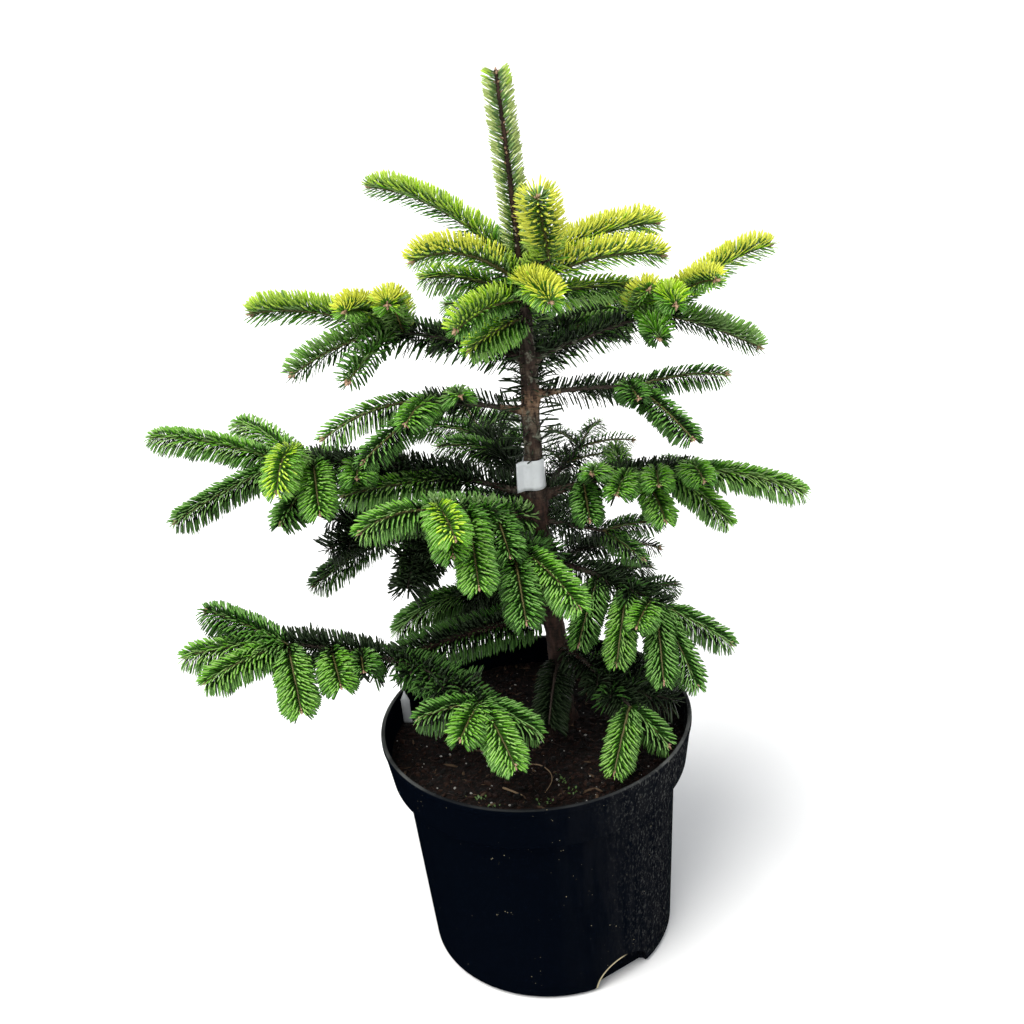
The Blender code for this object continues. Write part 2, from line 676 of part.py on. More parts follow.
class Crown:
    """Places stems one after another, each clear of what stands already, and then cuts the needles."""

    def __init__(self):
        self.stems = []
        self.hard = []

    def add_hard(self, owner, points, radii):
        self.hard.append((owner, np.array(points), np.broadcast_to(radii, len(points))))

    def others(self, owner):
        """Points and half-thicknesses of all stems that belong to other masses."""
        found = [stem for stem in self.stems if stem["owner"] != owner]
        if not found:
            return np.zeros((0, 3)), np.zeros(0)
        paths = np.concatenate([stem["path"] for stem in found])
        return paths, np.concatenate([stem["girth"] for stem in found])

    def hard_room(self, points, skip=()):
        """Distance from each point to the nearest limb, trunk, label, tag, pot rim or compost."""
        room = points[:, 2] - SOIL_LEVEL - SOIL_RELIEF
        for owner, spots, radii in self.hard:
            if owner not in skip:
                room = np.minimum(room, (distances(points, spots) - radii).min(axis=1))
        return room

    def place(self, owner, path, thick, lift, skip=()):
        """Keep as much of the stem as stays clear; a short rest is left out."""
        girth = np.linspace(thick, TIP_RADIUS, len(path))
        spots, radii = self.others(owner)
        blocked = self.hard_room(path, skip) < girth + STEM_SPACE
        if len(spots):
            gaps = distances(path, spots) - radii - girth[:, None]
            blocked |= gaps.min(axis=1) < STEM_SPACE
        if blocked.any():
            keep = max(int(np.argmax(blocked)) - 1, 1)
            if path_length(path[:keep]) < LEAST_SHOOT:
                return None
            path, girth = path[:keep], np.linspace(thick, TIP_RADIUS, keep)
        stem = {"owner": owner, "path": path, "girth": girth, "lift": lift, "skip": skip}
        self.stems.append(stem)
        return stem

    def needle_room(self, owner, points, skip):
        """How far needles may reach from each point: half way to the next mass, and short of what is hard."""
        spots, _ = self.others(owner)
        room = self.hard_room(points, skip)
        if len(spots):
            room = np.minimum(room, distances(points, spots).min(axis=1) / 2)
        return room - NEEDLE_SPACE


def add_fixed_things(crown):
    """What no stem or needle may touch: the trunk, the label with its flag, the tag and the pot's rim."""
    heights = np.arange(SOIL_LEVEL, TRUNK_TIP, STEM_STEP)
    crown.add_hard("trunk", [trunk_centre(h) for h in heights], [trunk_radius(h) for h in heights])
    label_heights = np.arange(LABEL_FOOT, LABEL_FOOT + LABEL_HEIGHT + STEM_STEP, STEM_STEP)
    crown.add_hard("label", [trunk_centre(h) for h in label_heights], LABEL_RADIUS + LABEL_THICKNESS)
    flag = []
    for height in label_heights:
        for out in np.arange(LABEL_RADIUS, LABEL_RADIUS + LABEL_FLAG + STEM_STEP, STEM_STEP):
            flag.append(trunk_centre(height) + out * direction(LABEL_HEADING, 0))
    crown.add_hard("flag", flag, STEM_STEP * 0.75)
    tag_heights = np.arange(SOIL_LEVEL, SOIL_LEVEL + TAG_HEIGHT + STEM_STEP, STEM_STEP)
    crown.add_hard("tag", [(*TAG_PLACE, height) for height in tag_heights], TAG_WIDTH * 0.6)
    rim = []
    for drop in (0.5, 1.5, 2.5, 3.5):
        rim += circle((0, 0), RIM_RADIUS - RIM_LIP / 2, 6 * POT_SIDES, POT_HEIGHT - drop * RIM_LIP)
    crown.add_hard("rim", rim, RIM_LIP)


def build_limbs(crown, boughs, finish):
    """The bare limbs; gives each bough's (first share of its mass, stem radius there, what it may touch)."""
    starts = {}
    for name, bough in boughs.items():
        if not bough.bare:
            first = first_clear_share(bough, TOP_STEM_RADIUS, stem_corners(bough.lift))
            starts[name] = (first, TOP_STEM_RADIUS, ("trunk",))
            continue
        thick = limb_radius(bough.height)
        thin = thick * LIMB_TAPER
        first = first_clear_share(bough, thick, round_corners(LIMB_SIDES))
        path = bough_path(bough, trunk_centre(bough.height), first, bough.bare)
        owner = "limb_" + name
        build_limb(owner, path, thick, finish)
        crown.add_hard(owner, path, np.linspace(thick, thin, len(path)))
        starts[name] = (bough.bare + GAP / bough.length, thin, ("trunk", owner))
    return starts


def place_mass(crown, owner, bough, start, first, thick, skip):
    """The stem of one mass and its side shoots; the first shoot at the end carries the stem on."""
    whole = bough_path(bough, start)
    stem_path = bough_path(bough, start, first)
    shoots = list(bough.shoots)
    if shoots and shoots[0].along == 1.0:
        lead = shoots.pop(0)
        onward = arc(whole[-1], bough.heading + lead.turn, lead.rise, lead.length, lead.arch)
        stem_path = np.concatenate([stem_path, onward[1:]])
    stem = crown.place(owner, stem_path, thick, bough.lift, skip)
    if stem is None:
        return
    for shoot in shoots:
        base = whole[round(min(shoot.along, LAST_FORK) * (len(whole) - 1))]
        if distances(stem["path"], base[None]).min() > STEM_STEP:
            continue
        path = arc(base, bough.heading + shoot.turn, shoot.rise, shoot.length, shoot.arch)
        crown.place(owner, path, SHOOT_RADIUS, bough.lift)


def place_masses(crown, boughs, starts):
    leader = np.array([trunk_centre(h) for h in np.arange(LEADER_FOOT, LEADER_TOP, STEM_STEP)])
    girth = np.full(len(leader), LEADER_GIRTH)
    crown.stems.append({"owner": "foliage_leader", "path": leader, "girth": girth})
    for name, bough in boughs.items():
        if name != FORK_LIMB:
            place_mass(crown, "foliage_" + name, bough, trunk_centre(bough.height), *starts[name])
    limb = boughs[FORK_LIMB]
    fork = bough_path(limb, trunk_centre(limb.height))[-1]
    for name, bough in FORK_MASSES.items():
        first = FORK_OFFSETS[name] / bough.length
        skip = ("trunk", "limb_" + FORK_LIMB)
        place_mass(crown, "foliage_" + name, bough, fork, first, FORK_STEMS[name], skip)


def spray_reach(share):
    foot = FOOT_REACH[0] + FOOT_REACH[1] * share
    tip = TIP_REACH[0] + TIP_REACH[1] * (1 - share)
    return NEEDLE * min(1.0, foot, tip)


def build_blade(crown, stem, finish):
    """A shoot as a ridged strip: pairs of swept teeth at every second station, a slim stem between."""
    pairs = max(2, round(path_length(stem["path"]) / TOOTH_PITCH))
    path = resample(stem["path"], 2 * pairs + 1)
    along, side, upward = frames(path)
    girth = np.linspace(stem["girth"][0], stem["girth"][-1], len(path))
    room = crown.needle_room(stem["owner"], path, stem["skip"])
    sweep, lift = math.radians(NEEDLE_SWEEP), math.radians(stem["lift"])
    rings = []
    for i in range(len(path) - 1):
        reach = min(room[i], spray_reach(i / (len(path) - 1)))
        tooth = i % 2 == 1 and reach > girth[i] + LEAST_TOOTH
        ring = []
        for across, over in stem_corners(stem["lift"]):
            if tooth and across:
                out = math.cos(lift) * across * side[i] + math.sin(lift) * upward[i]
                ring.append(path[i] + reach * (math.sin(sweep) * along[i] + math.cos(sweep) * out))
            else:
                ring.append(path[i] + girth[i] * (across * side[i] + over * upward[i]))
        rings.append(ring)
    points, faces = stitched(rings, cap_last=False)
    points.append(path[-1] + BUD * along[-1])
    last, size = len(points) - 1, len(rings[0])
    for j in range(size):
        faces.append((last - size + j, last - size + (j + 1) % size, last))
    return new_object(stem["owner"], points, faces, finish)


def build_leader_needles(crown, finish):
    """Rings of upswept spikes round the leader, clear of it by the gap."""
    heights = np.linspace(LEADER_FOOT, LEADER_TOP, LEADER_RINGS)
    facet = math.cos(math.pi / LEADER_SIDES)
    sweep = math.radians(LEADER_SWEEP)
    centres = np.array([trunk_centre(height) for height in heights])
    room = crown.needle_room("foliage_leader", centres, ("trunk",))
    outer, inner = [], []
    for i, centre in enumerate(centres):
        hole = (trunk_radius(heights[i]) + GAP) / facet
        reach = min(LEADER_REACH, room[i])
        ring = []
        for k, (a, b) in enumerate(round_corners(LEADER_SIDES)):
            spike = 0 < i < LEADER_RINGS - 1 and (i + k) % 2 == 0 and reach > hole + LEAST_TOOTH
            out = reach * math.cos(sweep) if spike else hole + LEADER_SKIN
            rise = reach * math.sin(sweep) if spike else 0.0
            ring.append(centre + np.array([out * a, out * b, rise]))
        outer.append(ring)
        inner.append(circle(centre, hole, LEADER_SIDES, heights[i]))
    points, faces = stitched(outer + inner[::-1], cap_first=False, cap_last=False)
    last = len(points) - LEADER_SIDES
    for k in range(LEADER_SIDES):
        following = (k + 1) % LEADER_SIDES
        faces.append((last + k, last + following, following, k))
    return new_object("foliage_leader", points, faces, finish)


def build_masses(crown, young, grown):
    blades = {}
    for stem in crown.stems:
        owner = stem["owner"]
        if owner == "foliage_leader":
            continue
        finish = young if "top" in owner or "second" in owner else grown
        blades.setdefault(owner, []).append(build_blade(crown, stem, finish))
    for owner, (first, *others) in blades.items():
        if others:
            boolean(first, "UNION", others)
        first.name = owner
    build_leader_needles(crown, young)


def main():
    plastic = material("pot_plastic", (0.012, 0.014, 0.018), 0.45)
    compost = material("compost", (0.055, 0.030, 0.020), 0.95)
    bark = material("bark", (0.105, 0.075, 0.055), 0.85)
    paper = material("label_paper", (0.78, 0.79, 0.80), 0.6)
    young = material("young_needles", (0.30, 0.47, 0.06), 0.5)
    grown = material("grown_needles", (0.08, 0.22, 0.05), 0.5)
    build_pot(plastic)
    build_soil(compost)
    build_trunk(bark)
    build_label(paper)
    build_tag(paper)

    crown = Crown()
    add_fixed_things(crown)
    boughs = all_boughs()
    starts = build_limbs(crown, boughs, bark)
    place_masses(crown, boughs, starts)
    build_masses(crown, young, grown)


main()
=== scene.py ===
"""Dresses the solids of a young nordmann fir in its nursery pot with bark, twigs, needles and compost.

It runs as a script. The boughs follow the rule of the solids: each one leaves the trunk at a height and
heading, forks at its end, and every shoot carries needles in a spiral that parts to the sides.
Headings are in degrees: 0 is to the right (+X), 90 is away (+Y), 180 is to the left.
"""

import math
import random
from collections import namedtuple

import bmesh
import bpy
import numpy as np
from bpy.props import FloatProperty, FloatVectorProperty, IntProperty, PointerProperty
from mathutils import Matrix, Vector, noise


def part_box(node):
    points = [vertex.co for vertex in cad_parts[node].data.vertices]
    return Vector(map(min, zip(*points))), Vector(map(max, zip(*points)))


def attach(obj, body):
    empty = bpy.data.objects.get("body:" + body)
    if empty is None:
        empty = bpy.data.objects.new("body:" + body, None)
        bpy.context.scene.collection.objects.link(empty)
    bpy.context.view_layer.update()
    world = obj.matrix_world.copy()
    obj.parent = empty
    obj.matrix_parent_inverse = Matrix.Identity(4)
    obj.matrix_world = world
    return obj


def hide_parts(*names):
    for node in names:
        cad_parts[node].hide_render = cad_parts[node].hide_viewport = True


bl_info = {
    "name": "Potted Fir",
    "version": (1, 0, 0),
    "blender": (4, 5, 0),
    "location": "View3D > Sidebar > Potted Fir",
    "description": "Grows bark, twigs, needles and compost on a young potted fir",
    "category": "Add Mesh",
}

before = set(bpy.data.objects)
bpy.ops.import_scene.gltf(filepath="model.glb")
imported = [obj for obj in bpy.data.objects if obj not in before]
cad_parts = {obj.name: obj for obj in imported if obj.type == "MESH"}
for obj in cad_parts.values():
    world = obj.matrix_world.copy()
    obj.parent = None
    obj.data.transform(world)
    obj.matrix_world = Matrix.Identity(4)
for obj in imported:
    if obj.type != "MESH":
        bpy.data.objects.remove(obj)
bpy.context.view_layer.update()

UP = np.array([0.0, 0.0, 1.0])
GOLDEN_ANGLE = math.radians(137.508)

# Places read from the solids
POT_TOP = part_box("pot")[1].z
RIM_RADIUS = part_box("pot")[1].x
TRUNK_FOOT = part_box("trunk")[0].z
TRUNK_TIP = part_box("trunk")[1].z
LABEL_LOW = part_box("plain_label")[0].z
LABEL_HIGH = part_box("plain_label")[1].z
TAG_LOW, TAG_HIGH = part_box("plain_tag")

# Pot: a rolled lip, a flaring collar, a tapering wall and drainage arches in the foot
RIM_LIP = 0.0040
COLLAR_FOOT = POT_TOP - 0.048
COLLAR_FOOT_RADIUS = 0.1435
BODY_TOP_RADIUS = 0.132
BASE_RADIUS = 0.121
POT_WALL = 0.0018
ARCH_RADIUS = 0.031
ARCH_DEPTH = 0.014
ARCH_HEADINGS = (305, 35, 125)
SOIL_LEVEL = TRUNK_FOOT - 0.0003
SOIL_RADIUS = 0.1430

# Trunk: (height, x) of its centre and (height, radius) of its girth
TRUNK_Y = 0.030
TRUNK_LINE = (
    (0.217, 0.0270),
    (0.300, 0.0260),
    (0.400, 0.0200),
    (0.470, 0.0180),
    (0.620, 0.0210),
    (0.720, 0.0195),
    (0.840, 0.0142),
)
TRUNK_GIRTH = (
    (0.217, 0.0122),
    (0.240, 0.0102),
    (0.350, 0.0092),
    (0.475, 0.0085),
    (0.575, 0.0073),
    (0.640, 0.0060),
    (0.680, 0.0031),
    (0.820, 0.0018),
    (0.836, 0.0016),
)
KNUCKLE_HEIGHT = 0.556
LABEL_RADIUS = 0.0094
LABEL_FLAG = 0.011
LABEL_HEADING = 218
LABEL_PINCH = 30
# How far needles keep from the label, the compost and the pot's rim, and a hair's breadth more
LABEL_MARGIN = 0.002
SOIL_MARGIN = 0.003
RIM_MARGIN = 0.0045
HAIR = 0.001

# Limbs and stems; the zones at a shoot's tip and foot are where its needles are shorter
TIP_ZONE = 0.014
FOOT_ZONE = 0.012
LIMB_RADIUS = ((0.30, 0.0044), (0.46, 0.0046), (0.60, 0.0034))
LIMB_TAPER = 0.62
TOP_STEM_RADIUS = 0.0024
SHOOT_RADIUS = 0.0013
TIP_RADIUS = 0.0008
STEM_STEP = 0.004
LAST_FORK = 0.985
# Above this rise a shoot is a bottle brush. Others are a brush from this lift on, and below it a comb
STEEP = 50
BRUSH_LIFT = 25
# Finer twigs on old wood: how far apart, their turn, rise, length and radii
TWIG_GROUPS = ("fourth", "fifth", "low")
TWIG_GAP = 0.011
TWIG_LAST = 0.84
TWIG_TURN = (40, 62)
TWIG_RISE = (-24, 14)
TWIG_LENGTH = (0.013, 0.019)
TWIG_RADII = (0.0009, 0.0006)
# Where the leader's needles start, and the stretch of trunk below it that still has needles of its own
LEADER_FOOT = 0.684
TRUNK_NEEDLES = (0.500, 0.668)
TRUNK_NEEDLE_GROUP = "third"

# Tint levels of needles, from the shaded inside of the crown to the lit tips of the last year's shoots
OLD, DEEP, LEAF, FRESH, LIME, GOLD = range(6)
LEVEL_NAMES = ("old", "deep", "leaf", "fresh", "lime", "gold")

# A shoot leaves its stem at a share of the stem's length, turned off the stem's heading
Shoot = namedtuple("Shoot", "along turn rise length arch tint")
# A bough leaves the trunk at a height; bare is the share of it that is limb, lift tips its needles up
Bough = namedtuple("Bough", "height heading rise length arch bare lift tint shoots")

BOUGHS = {
    # Top whorl: single shoots of the last year
    "top_back_left": Bough(0.674, 159, 28, 0.152, 0.10, 0, 40, LIME, ()),
    "top_left": Bough(0.662, 196, 20, 0.097, 0.16, 0, 40, GOLD, ()),
    "top_mid_left": Bough(0.647, 170, 15, 0.090, 0.10, 0, 24, LIME, ()),
    "top_front_left": Bough(0.648, 230, -2, 0.085, 0.08, 0, 35, LIME, ()),
    "top_low_left": Bough(0.632, 214, -15, 0.060, 0.06, 0, 20, LIME, ()),
    "top_front": Bough(0.664, 325, 36, 0.038, 0.02, 0, 40, LIME, (
        Shoot(1.00, -66, 64, 0.063, 0.04, GOLD),
    )),
    "top_back_right": Bough(0.666, 28, 10, 0.139, 0.08, 0, 40, GOLD, ()),
    "top_right": Bough(0.656, 4, 9, 0.123, 0.10, 0, 40, GOLD, ()),
    "top_low_right": Bough(0.645, 22, -2, 0.105, 0.06, 0, 20, LIME, ()),
    "top_near": Bough(0.660, 287, 5, 0.085, 0.06, 0, 35, GOLD, ()),
    "top_back": Bough(0.660, 82, 16, 0.110, 0.06, 0, 35, LIME, ()),
    # Second whorl
    "second_left": Bough(0.594, 168, 12, 0.134, 0.04, 0.35, 30, DEEP, (
        Shoot(1.00, 20, 15, 0.115, 0.08, LIME),
        Shoot(0.97, 45, -10, 0.095, 0.06, FRESH),
        Shoot(0.90, 80, -10, 0.090, 0.04, LEAF),
        Shoot(0.97, 80, 30, 0.075, 0.12, GOLD),
        Shoot(0.85, 100, 35, 0.075, 0.12, GOLD),
    )),
    "second_right": Bough(0.593, 14, 12, 0.133, 0.02, 0.35, 30, DEEP, (
        Shoot(1.00, 0, 25, 0.105, 0.08, GOLD),
        Shoot(1.00, -70, 30, 0.075, 0.10, GOLD),
        Shoot(0.92, -95, 20, 0.080, 0.12, LIME),
        Shoot(0.92, -25, -20, 0.095, 0.04, FRESH),
        Shoot(0.84, -100, 0, 0.070, 0.04, FRESH),
        Shoot(0.75, -90, 40, 0.060, 0.08, GOLD),
    )),
    # Third whorl
    "third_left": Bough(0.546, 182, 11, 0.091, 0.02, 0.30, 15, OLD, (
        Shoot(1.00, 20, -8, 0.100, 0.10, FRESH),
        Shoot(0.90, 50, -12, 0.100, 0.04, LEAF),
        Shoot(0.95, 75, 6, 0.075, 0.08, FRESH),
        Shoot(0.75, 100, 25, 0.050, 0.08, FRESH),
    )),
    "third_right": Bough(0.561, 356, 2, 0.093, 0.03, 0.30, 15, OLD, (
        Shoot(1.00, 0, 5, 0.080, 0.06, LEAF),
        Shoot(0.98, -65, -6, 0.110, 0.03, LEAF),
        Shoot(0.92, -80, 10, 0.065, 0.06, LEAF),
    )),
    # Fourth whorl, the widest
    "fourth_left": Bough(0.462, 176, 11, 0.235, 0.05, 0.18, 20, OLD, (
        Shoot(1.00, 0, 15, 0.125, 0.05, FRESH),
        Shoot(1.00, 30, -15, 0.115, 0.04, LEAF),
        Shoot(0.93, -36, 15, 0.090, 0.06, FRESH),
        Shoot(0.93, 90, 6, 0.085, 0.25, LIME),
        Shoot(0.88, 105, -10, 0.085, 0.10, FRESH),
        Shoot(0.85, 70, -20, 0.080, 0.02, LEAF),
        Shoot(0.70, 100, 10, 0.060, 0.06, FRESH),
        Shoot(0.28, 20, 2, 0.110, 0.03, FRESH),
    )),
    "fourth_front_left": Bough(0.439, 227, 25, 0.140, 0.03, 0.30, 20, LEAF, (
        Shoot(1.00, -20, -2, 0.065, 0.10, FRESH),
        Shoot(1.00, 60, 5, 0.075, 0.12, LIME),
        Shoot(0.90, 55, -15, 0.060, 0.04, FRESH),
        Shoot(0.70, 50, -15, 0.100, 0.06, FRESH),
        Shoot(0.42, 55, -12, 0.065, 0.04, LEAF),
    )),
    "fourth_front": Bough(0.413, 252, 20, 0.080, 0.03, 0, 15, DEEP, (
        Shoot(1.00, 25, -15, 0.085, 0.08, LEAF),
        Shoot(0.80, 50, -10, 0.095, 0.08, FRESH),
    )),
    "fourth_right": Bough(0.462, 8, 3, 0.144, 0.05, 0.30, 20, OLD, (
        Shoot(1.00, -15, -13, 0.105, 0.05, FRESH),
        Shoot(0.55, 85, 5, 0.060, 0.05, FRESH),
        Shoot(0.45, -110, 27, 0.065, 0.08, FRESH),
        Shoot(0.62, -110, 10, 0.075, 0.06, FRESH),
        Shoot(0.78, -100, 13, 0.070, 0.06, FRESH),
        Shoot(1.00, -90, 15, 0.070, 0.12, FRESH),
        Shoot(0.85, -40, -35, 0.072, 0.04, FRESH),
        Shoot(0.30, -95, -10, 0.060, 0.05, LEAF),
        Shoot(0.70, -85, -18, 0.068, 0.05, FRESH),
    )),
    "fourth_low_right": Bough(0.440, 352, -12, 0.060, 0.00, 0, 10, OLD, (
        Shoot(1.00, 15, 2, 0.055, 0.05, LEAF),
        Shoot(1.00, -20, -30, 0.045, 0.03, LEAF),
    )),
    # Fifth whorl, drooping
    "fifth_back_left": Bough(0.413, 160, 5, 0.147, 0.03, 0.30, 15, OLD, (
        Shoot(1.00, 25, -33, 0.110, 0.00, DEEP),
        Shoot(0.80, 100, -20, 0.085, 0.03, OLD),
        Shoot(1.00, 0, -10, 0.065, 0.03, OLD),
        Shoot(0.60, 70, -25, 0.080, 0.03, OLD),
        Shoot(1.00, 50, -5, 0.080, 0.05, OLD),
        Shoot(0.85, 30, 10, 0.090, 0.05, OLD),
        Shoot(1.00, -20, 12, 0.090, 0.05, OLD),
    )),
    "fifth_left": Bough(0.381, 160, -20, 0.090, 0.06, 0, 10, OLD, (
        Shoot(1.00, 20, -25, 0.080, 0.10, LEAF),
    )),
    "fifth_right": Bough(0.397, 345, -21, 0.120, 0.06, 0.30, 10, OLD, (
        Shoot(1.00, 0, -29, 0.070, 0.04, LEAF),
        Shoot(0.70, -90, -38, 0.075, 0.05, FRESH),
        Shoot(0.45, -100, -38, 0.070, 0.05, LEAF),
        Shoot(0.95, -75, -37, 0.078, 0.05, LEAF),
        Shoot(0.95, -40, -50, 0.085, 0.05, LEAF),
        Shoot(0.90, -95, 0, 0.050, 0.05, FRESH),
    )),
    # Lowest shoots, over the pot; the left one is a bare limb up to its fork
    "low_left": Bough(0.338, 205, 0, 0.160, 0.04, 1.0, 15, DEEP, ()),
    "low_right": Bough(0.310, 310, -17, 0.105, 0.05, 0.35, 10, OLD, (
        Shoot(1.00, -60, -32, 0.065, 0.04, FRESH),
        Shoot(1.00, 20, -41, 0.050, 0.04, LEAF),
    )),
    "low_near": Bough(0.287, 261, -16, 0.080, 0.10, 0, 10, OLD, ()),
}

# The two masses that start at the low left limb's fork, and so have no height of their own
FORK_LIMB = "low_left"
FORK_MASSES = {
    "low_left_outer": Bough(None, 186, 18, 0.099, 0.03, 0, 15, OLD, (
        Shoot(1.00, 6, 3, 0.090, 0.05, FRESH),
        Shoot(1.00, -15, 25, 0.080, 0.03, LEAF),
        Shoot(1.00, 30, -4, 0.080, 0.05, FRESH),
        Shoot(1.00, 100, -22, 0.075, 0.04, FRESH),
        Shoot(0.60, 100, -5, 0.060, 0.04, FRESH),
        Shoot(0.30, 95, 10, 0.045, 0.04, LEAF),
    )),
    "low_left_inner": Bough(None, 320, -4, 0.105, 0.06, 0, 15, DEEP, (
        Shoot(1.00, -26, -16, 0.075, 0.06, FRESH),
        Shoot(1.00, -120, 0, 0.055, 0.06, LEAF),
        Shoot(1.00, -65, 0, 0.055, 0.06, FRESH),
        Shoot(1.00, 26, -28, 0.055, 0.06, LEAF),
    )),
}
FORK_STEMS = {"low_left_outer": 0.0027, "low_left_inner": 0.0017}

# Boughs on the far side, which fork by rule: (height, heading, rise, length)
FAR_BOUGHS = {
    "second_back_left": (0.588, 106, 10, 0.105),
    "second_back_right": (0.583, 58, 10, 0.115),
    "third_back": (0.552, 90, 6, 0.150),
    "fourth_back_left": (0.455, 112, 7, 0.150),
    "fourth_back_right": (0.452, 70, 4, 0.125),
    "fifth_back": (0.398, 98, -4, 0.150),
    "fifth_back_right": (0.385, 55, -8, 0.105),
    "low_back_left": (0.350, 132, -20, 0.100),
}
FAR_BARE = 0.30
FAR_LIFT = 15
FAR_ARCH = 0.05
FAR_LEAD = 0.62
FAR_WANDER = (8, 6)
FAR_FORKS = ((1.0, 0.52), (0.60, 0.46))
FAR_TURN = (40, 55)
FAR_DIP = (-10, 2)
FAR_SPREAD = (0.9, 1.1)
FAR_SHOOT_ARCH = 0.06
FAR_TINTS = {"second": FRESH, "third": LEAF, "fourth": LEAF, "fifth": DEEP, "low": OLD}

# Side shoots on the far side of the boughs that lean left or right, by rule
SIDE_SHARES = (0.48, 0.80)
SIDE_SLIP = 0.05
SIDE_TURN = (48, 66)
SIDE_RISE = (-20, -10)
SIDE_LENGTH = (0.050, 0.068)
SIDE_ARCH = 0.05

GROUPS = ("top", "second", "third", "fourth", "fifth", "low")
# Stems whose needles are fewer or more, and shorter or longer, than most: (fullness, size) by how a name
# starts, where the longest start that fits counts
GROWTH = {
    "leader": (0.80, 0.94),
    "top_back_left": (1.0, 0.86),
    "second_left_0": (0.8, 0.95),
    "second_left_1": (0.65, 0.95),
    "second_left_2": (1.3, 1.0),
    "second_left_3": (1.3, 1.0),
    "second_right": (1.0, 0.92),
    "third": (0.7, 0.80),
    "third_left": (0.68, 0.90),
    "trunk": (0.8, 0.90),
    "fourth_left_lead": (1.35, 0.95),
    "fourth_left_0": (1.2, 0.95),
    "fourth_left_1": (1.4, 1.0),
    "fourth_right": (1.0, 0.85),
    "fourth_right_lead": (1.4, 0.95),
    "fourth_right_5": (1.2, 0.90),
    "fourth_low_right": (0.8, 0.75),
    "fourth_back_right": (0.45, 0.70),
    "fifth": (1.1, 1.0),
    "fifth_left": (1.6, 1.1),
    "fifth_right": (1.1, 0.88),
    "fifth_back_right": (0.55, 0.75),
    "low_right": (1.0, 0.92),
    "low_left": (1.8, 1.05),
    "low_left_outer": (1.2, 1.04),
    "low_left_inner": (1.0, 1.0),
    "low_back_left": (1.7, 1.20),
}
SPLIT_GROUPS = ("fourth", "fifth")
YOUNG_GROUPS = ("top", "second")


def colour_property(name, about, colour):
    return FloatVectorProperty(name=name, description=about, default=colour, subtype="COLOR", min=0, max=1)


def length_property(name, about, length):
    return FloatProperty(name=name, description=about, default=length, subtype="DISTANCE", unit="LENGTH")


class NeedleSettings(bpy.types.PropertyGroup):
    length: length_property("Length", "Length of a full-grown needle", 0.0205)
    width: length_property("Width", "Width of a needle", 0.0021)
    fullness: FloatProperty(name="Fullness", description="Share of the needles on each shoot", default=1.0)
    old: colour_property("Old", "Needles deep inside the crown", (0.008, 0.017, 0.006))
    deep: colour_property("Deep", "Shaded needles", (0.026, 0.082, 0.012))
    leaf: colour_property("Leaf", "Grown needles", (0.058, 0.198, 0.015))
    fresh: colour_property("Fresh", "Needles of new shoots", (0.120, 0.362, 0.018))
    lime: colour_property("Lime", "Lit needles", (0.370, 0.640, 0.020))
    gold: colour_property("Gold", "Yellow tips of the top shoots", (0.700, 0.740, 0.075))
    under_dull: colour_property("Under, Dull", "Undersides of old needles", (0.038, 0.060, 0.030))
    under_pale: colour_property("Under, Pale", "Undersides of grown needles", (0.200, 0.330, 0.110))
    under_lime: colour_property("Under, Lime", "Undersides of lit needles", (0.400, 0.580, 0.090))
    under_gold: colour_property("Under, Gold", "Undersides of yellow needles", (0.720, 0.760, 0.110))
    # The edge tints are painted highlights: on each needle, the facet that faces up takes one, paler than its
    # blade
    edge_old: colour_property("Edge, Old", "Worn gloss on old needles", (0.026, 0.042, 0.018))
    edge_deep: colour_property("Edge, Deep", "Gloss on shaded needles", (0.060, 0.135, 0.030))
    edge_leaf: colour_property("Edge, Leaf", "Gloss on grown needles", (0.200, 0.375, 0.105))
    edge_fresh: colour_property("Edge, Fresh", "Gloss on new needles", (0.290, 0.500, 0.130))
    edge_lime: colour_property("Edge, Lime", "Gloss on lit needles", (0.600, 0.780, 0.120))
    sage: colour_property("Sage", "Pale needles of the leader", (0.400, 0.500, 0.170))
    edge_sage: colour_property("Edge, Sage", "Gloss on the leader's needles", (0.700, 0.760, 0.420))


class WoodSettings(bpy.types.PropertyGroup):
    relief: length_property("Relief", "Depth of the bark's cracks", 0.0009)
    dark: colour_property("Dark Bark", "Cracks of the bark", (0.012, 0.007, 0.005))
    light: colour_property("Light Bark", "Plates of the upper trunk", (0.105, 0.078, 0.055))
    knuckle: colour_property("Knuckle", "Swollen bark where the third whorl leaves", (0.330, 0.200, 0.120))
    red: colour_property("Red Bark", "Foot of the trunk and collars of the boughs", (0.048, 0.022, 0.014))
    lichen: colour_property("Lichen", "Grey-green patches on the trunk", (0.185, 0.195, 0.145))
    young_twig: colour_property("Young Twig", "Stems of the last year's shoots", (0.110, 0.095, 0.026))
    old_twig: colour_property("Old Twig", "Stems of older shoots", (0.040, 0.027, 0.019))
    bud: colour_property("Bud", "Buds at the tips of the shoots", (0.380, 0.235, 0.150))


class PotSettings(bpy.types.PropertyGroup):
    sides: IntProperty(name="Sides", description="Facets round the pot", default=192)
    plastic: colour_property("Plastic", "Black plastic of the pot", (0.0010, 0.0018, 0.0037))
    dust: colour_property("Dust", "Dried dirt on the pot", (0.088, 0.089, 0.084))
    # The lip colour is a painted highlight along the top of the rim
    lip_highlight: colour_property("Lip", "Worn grey edge of the rim", (0.120, 0.125, 0.120))
    scrape: colour_property("Scrape", "Scraped edge of a drainage arch, and specks", (0.420, 0.370, 0.240))


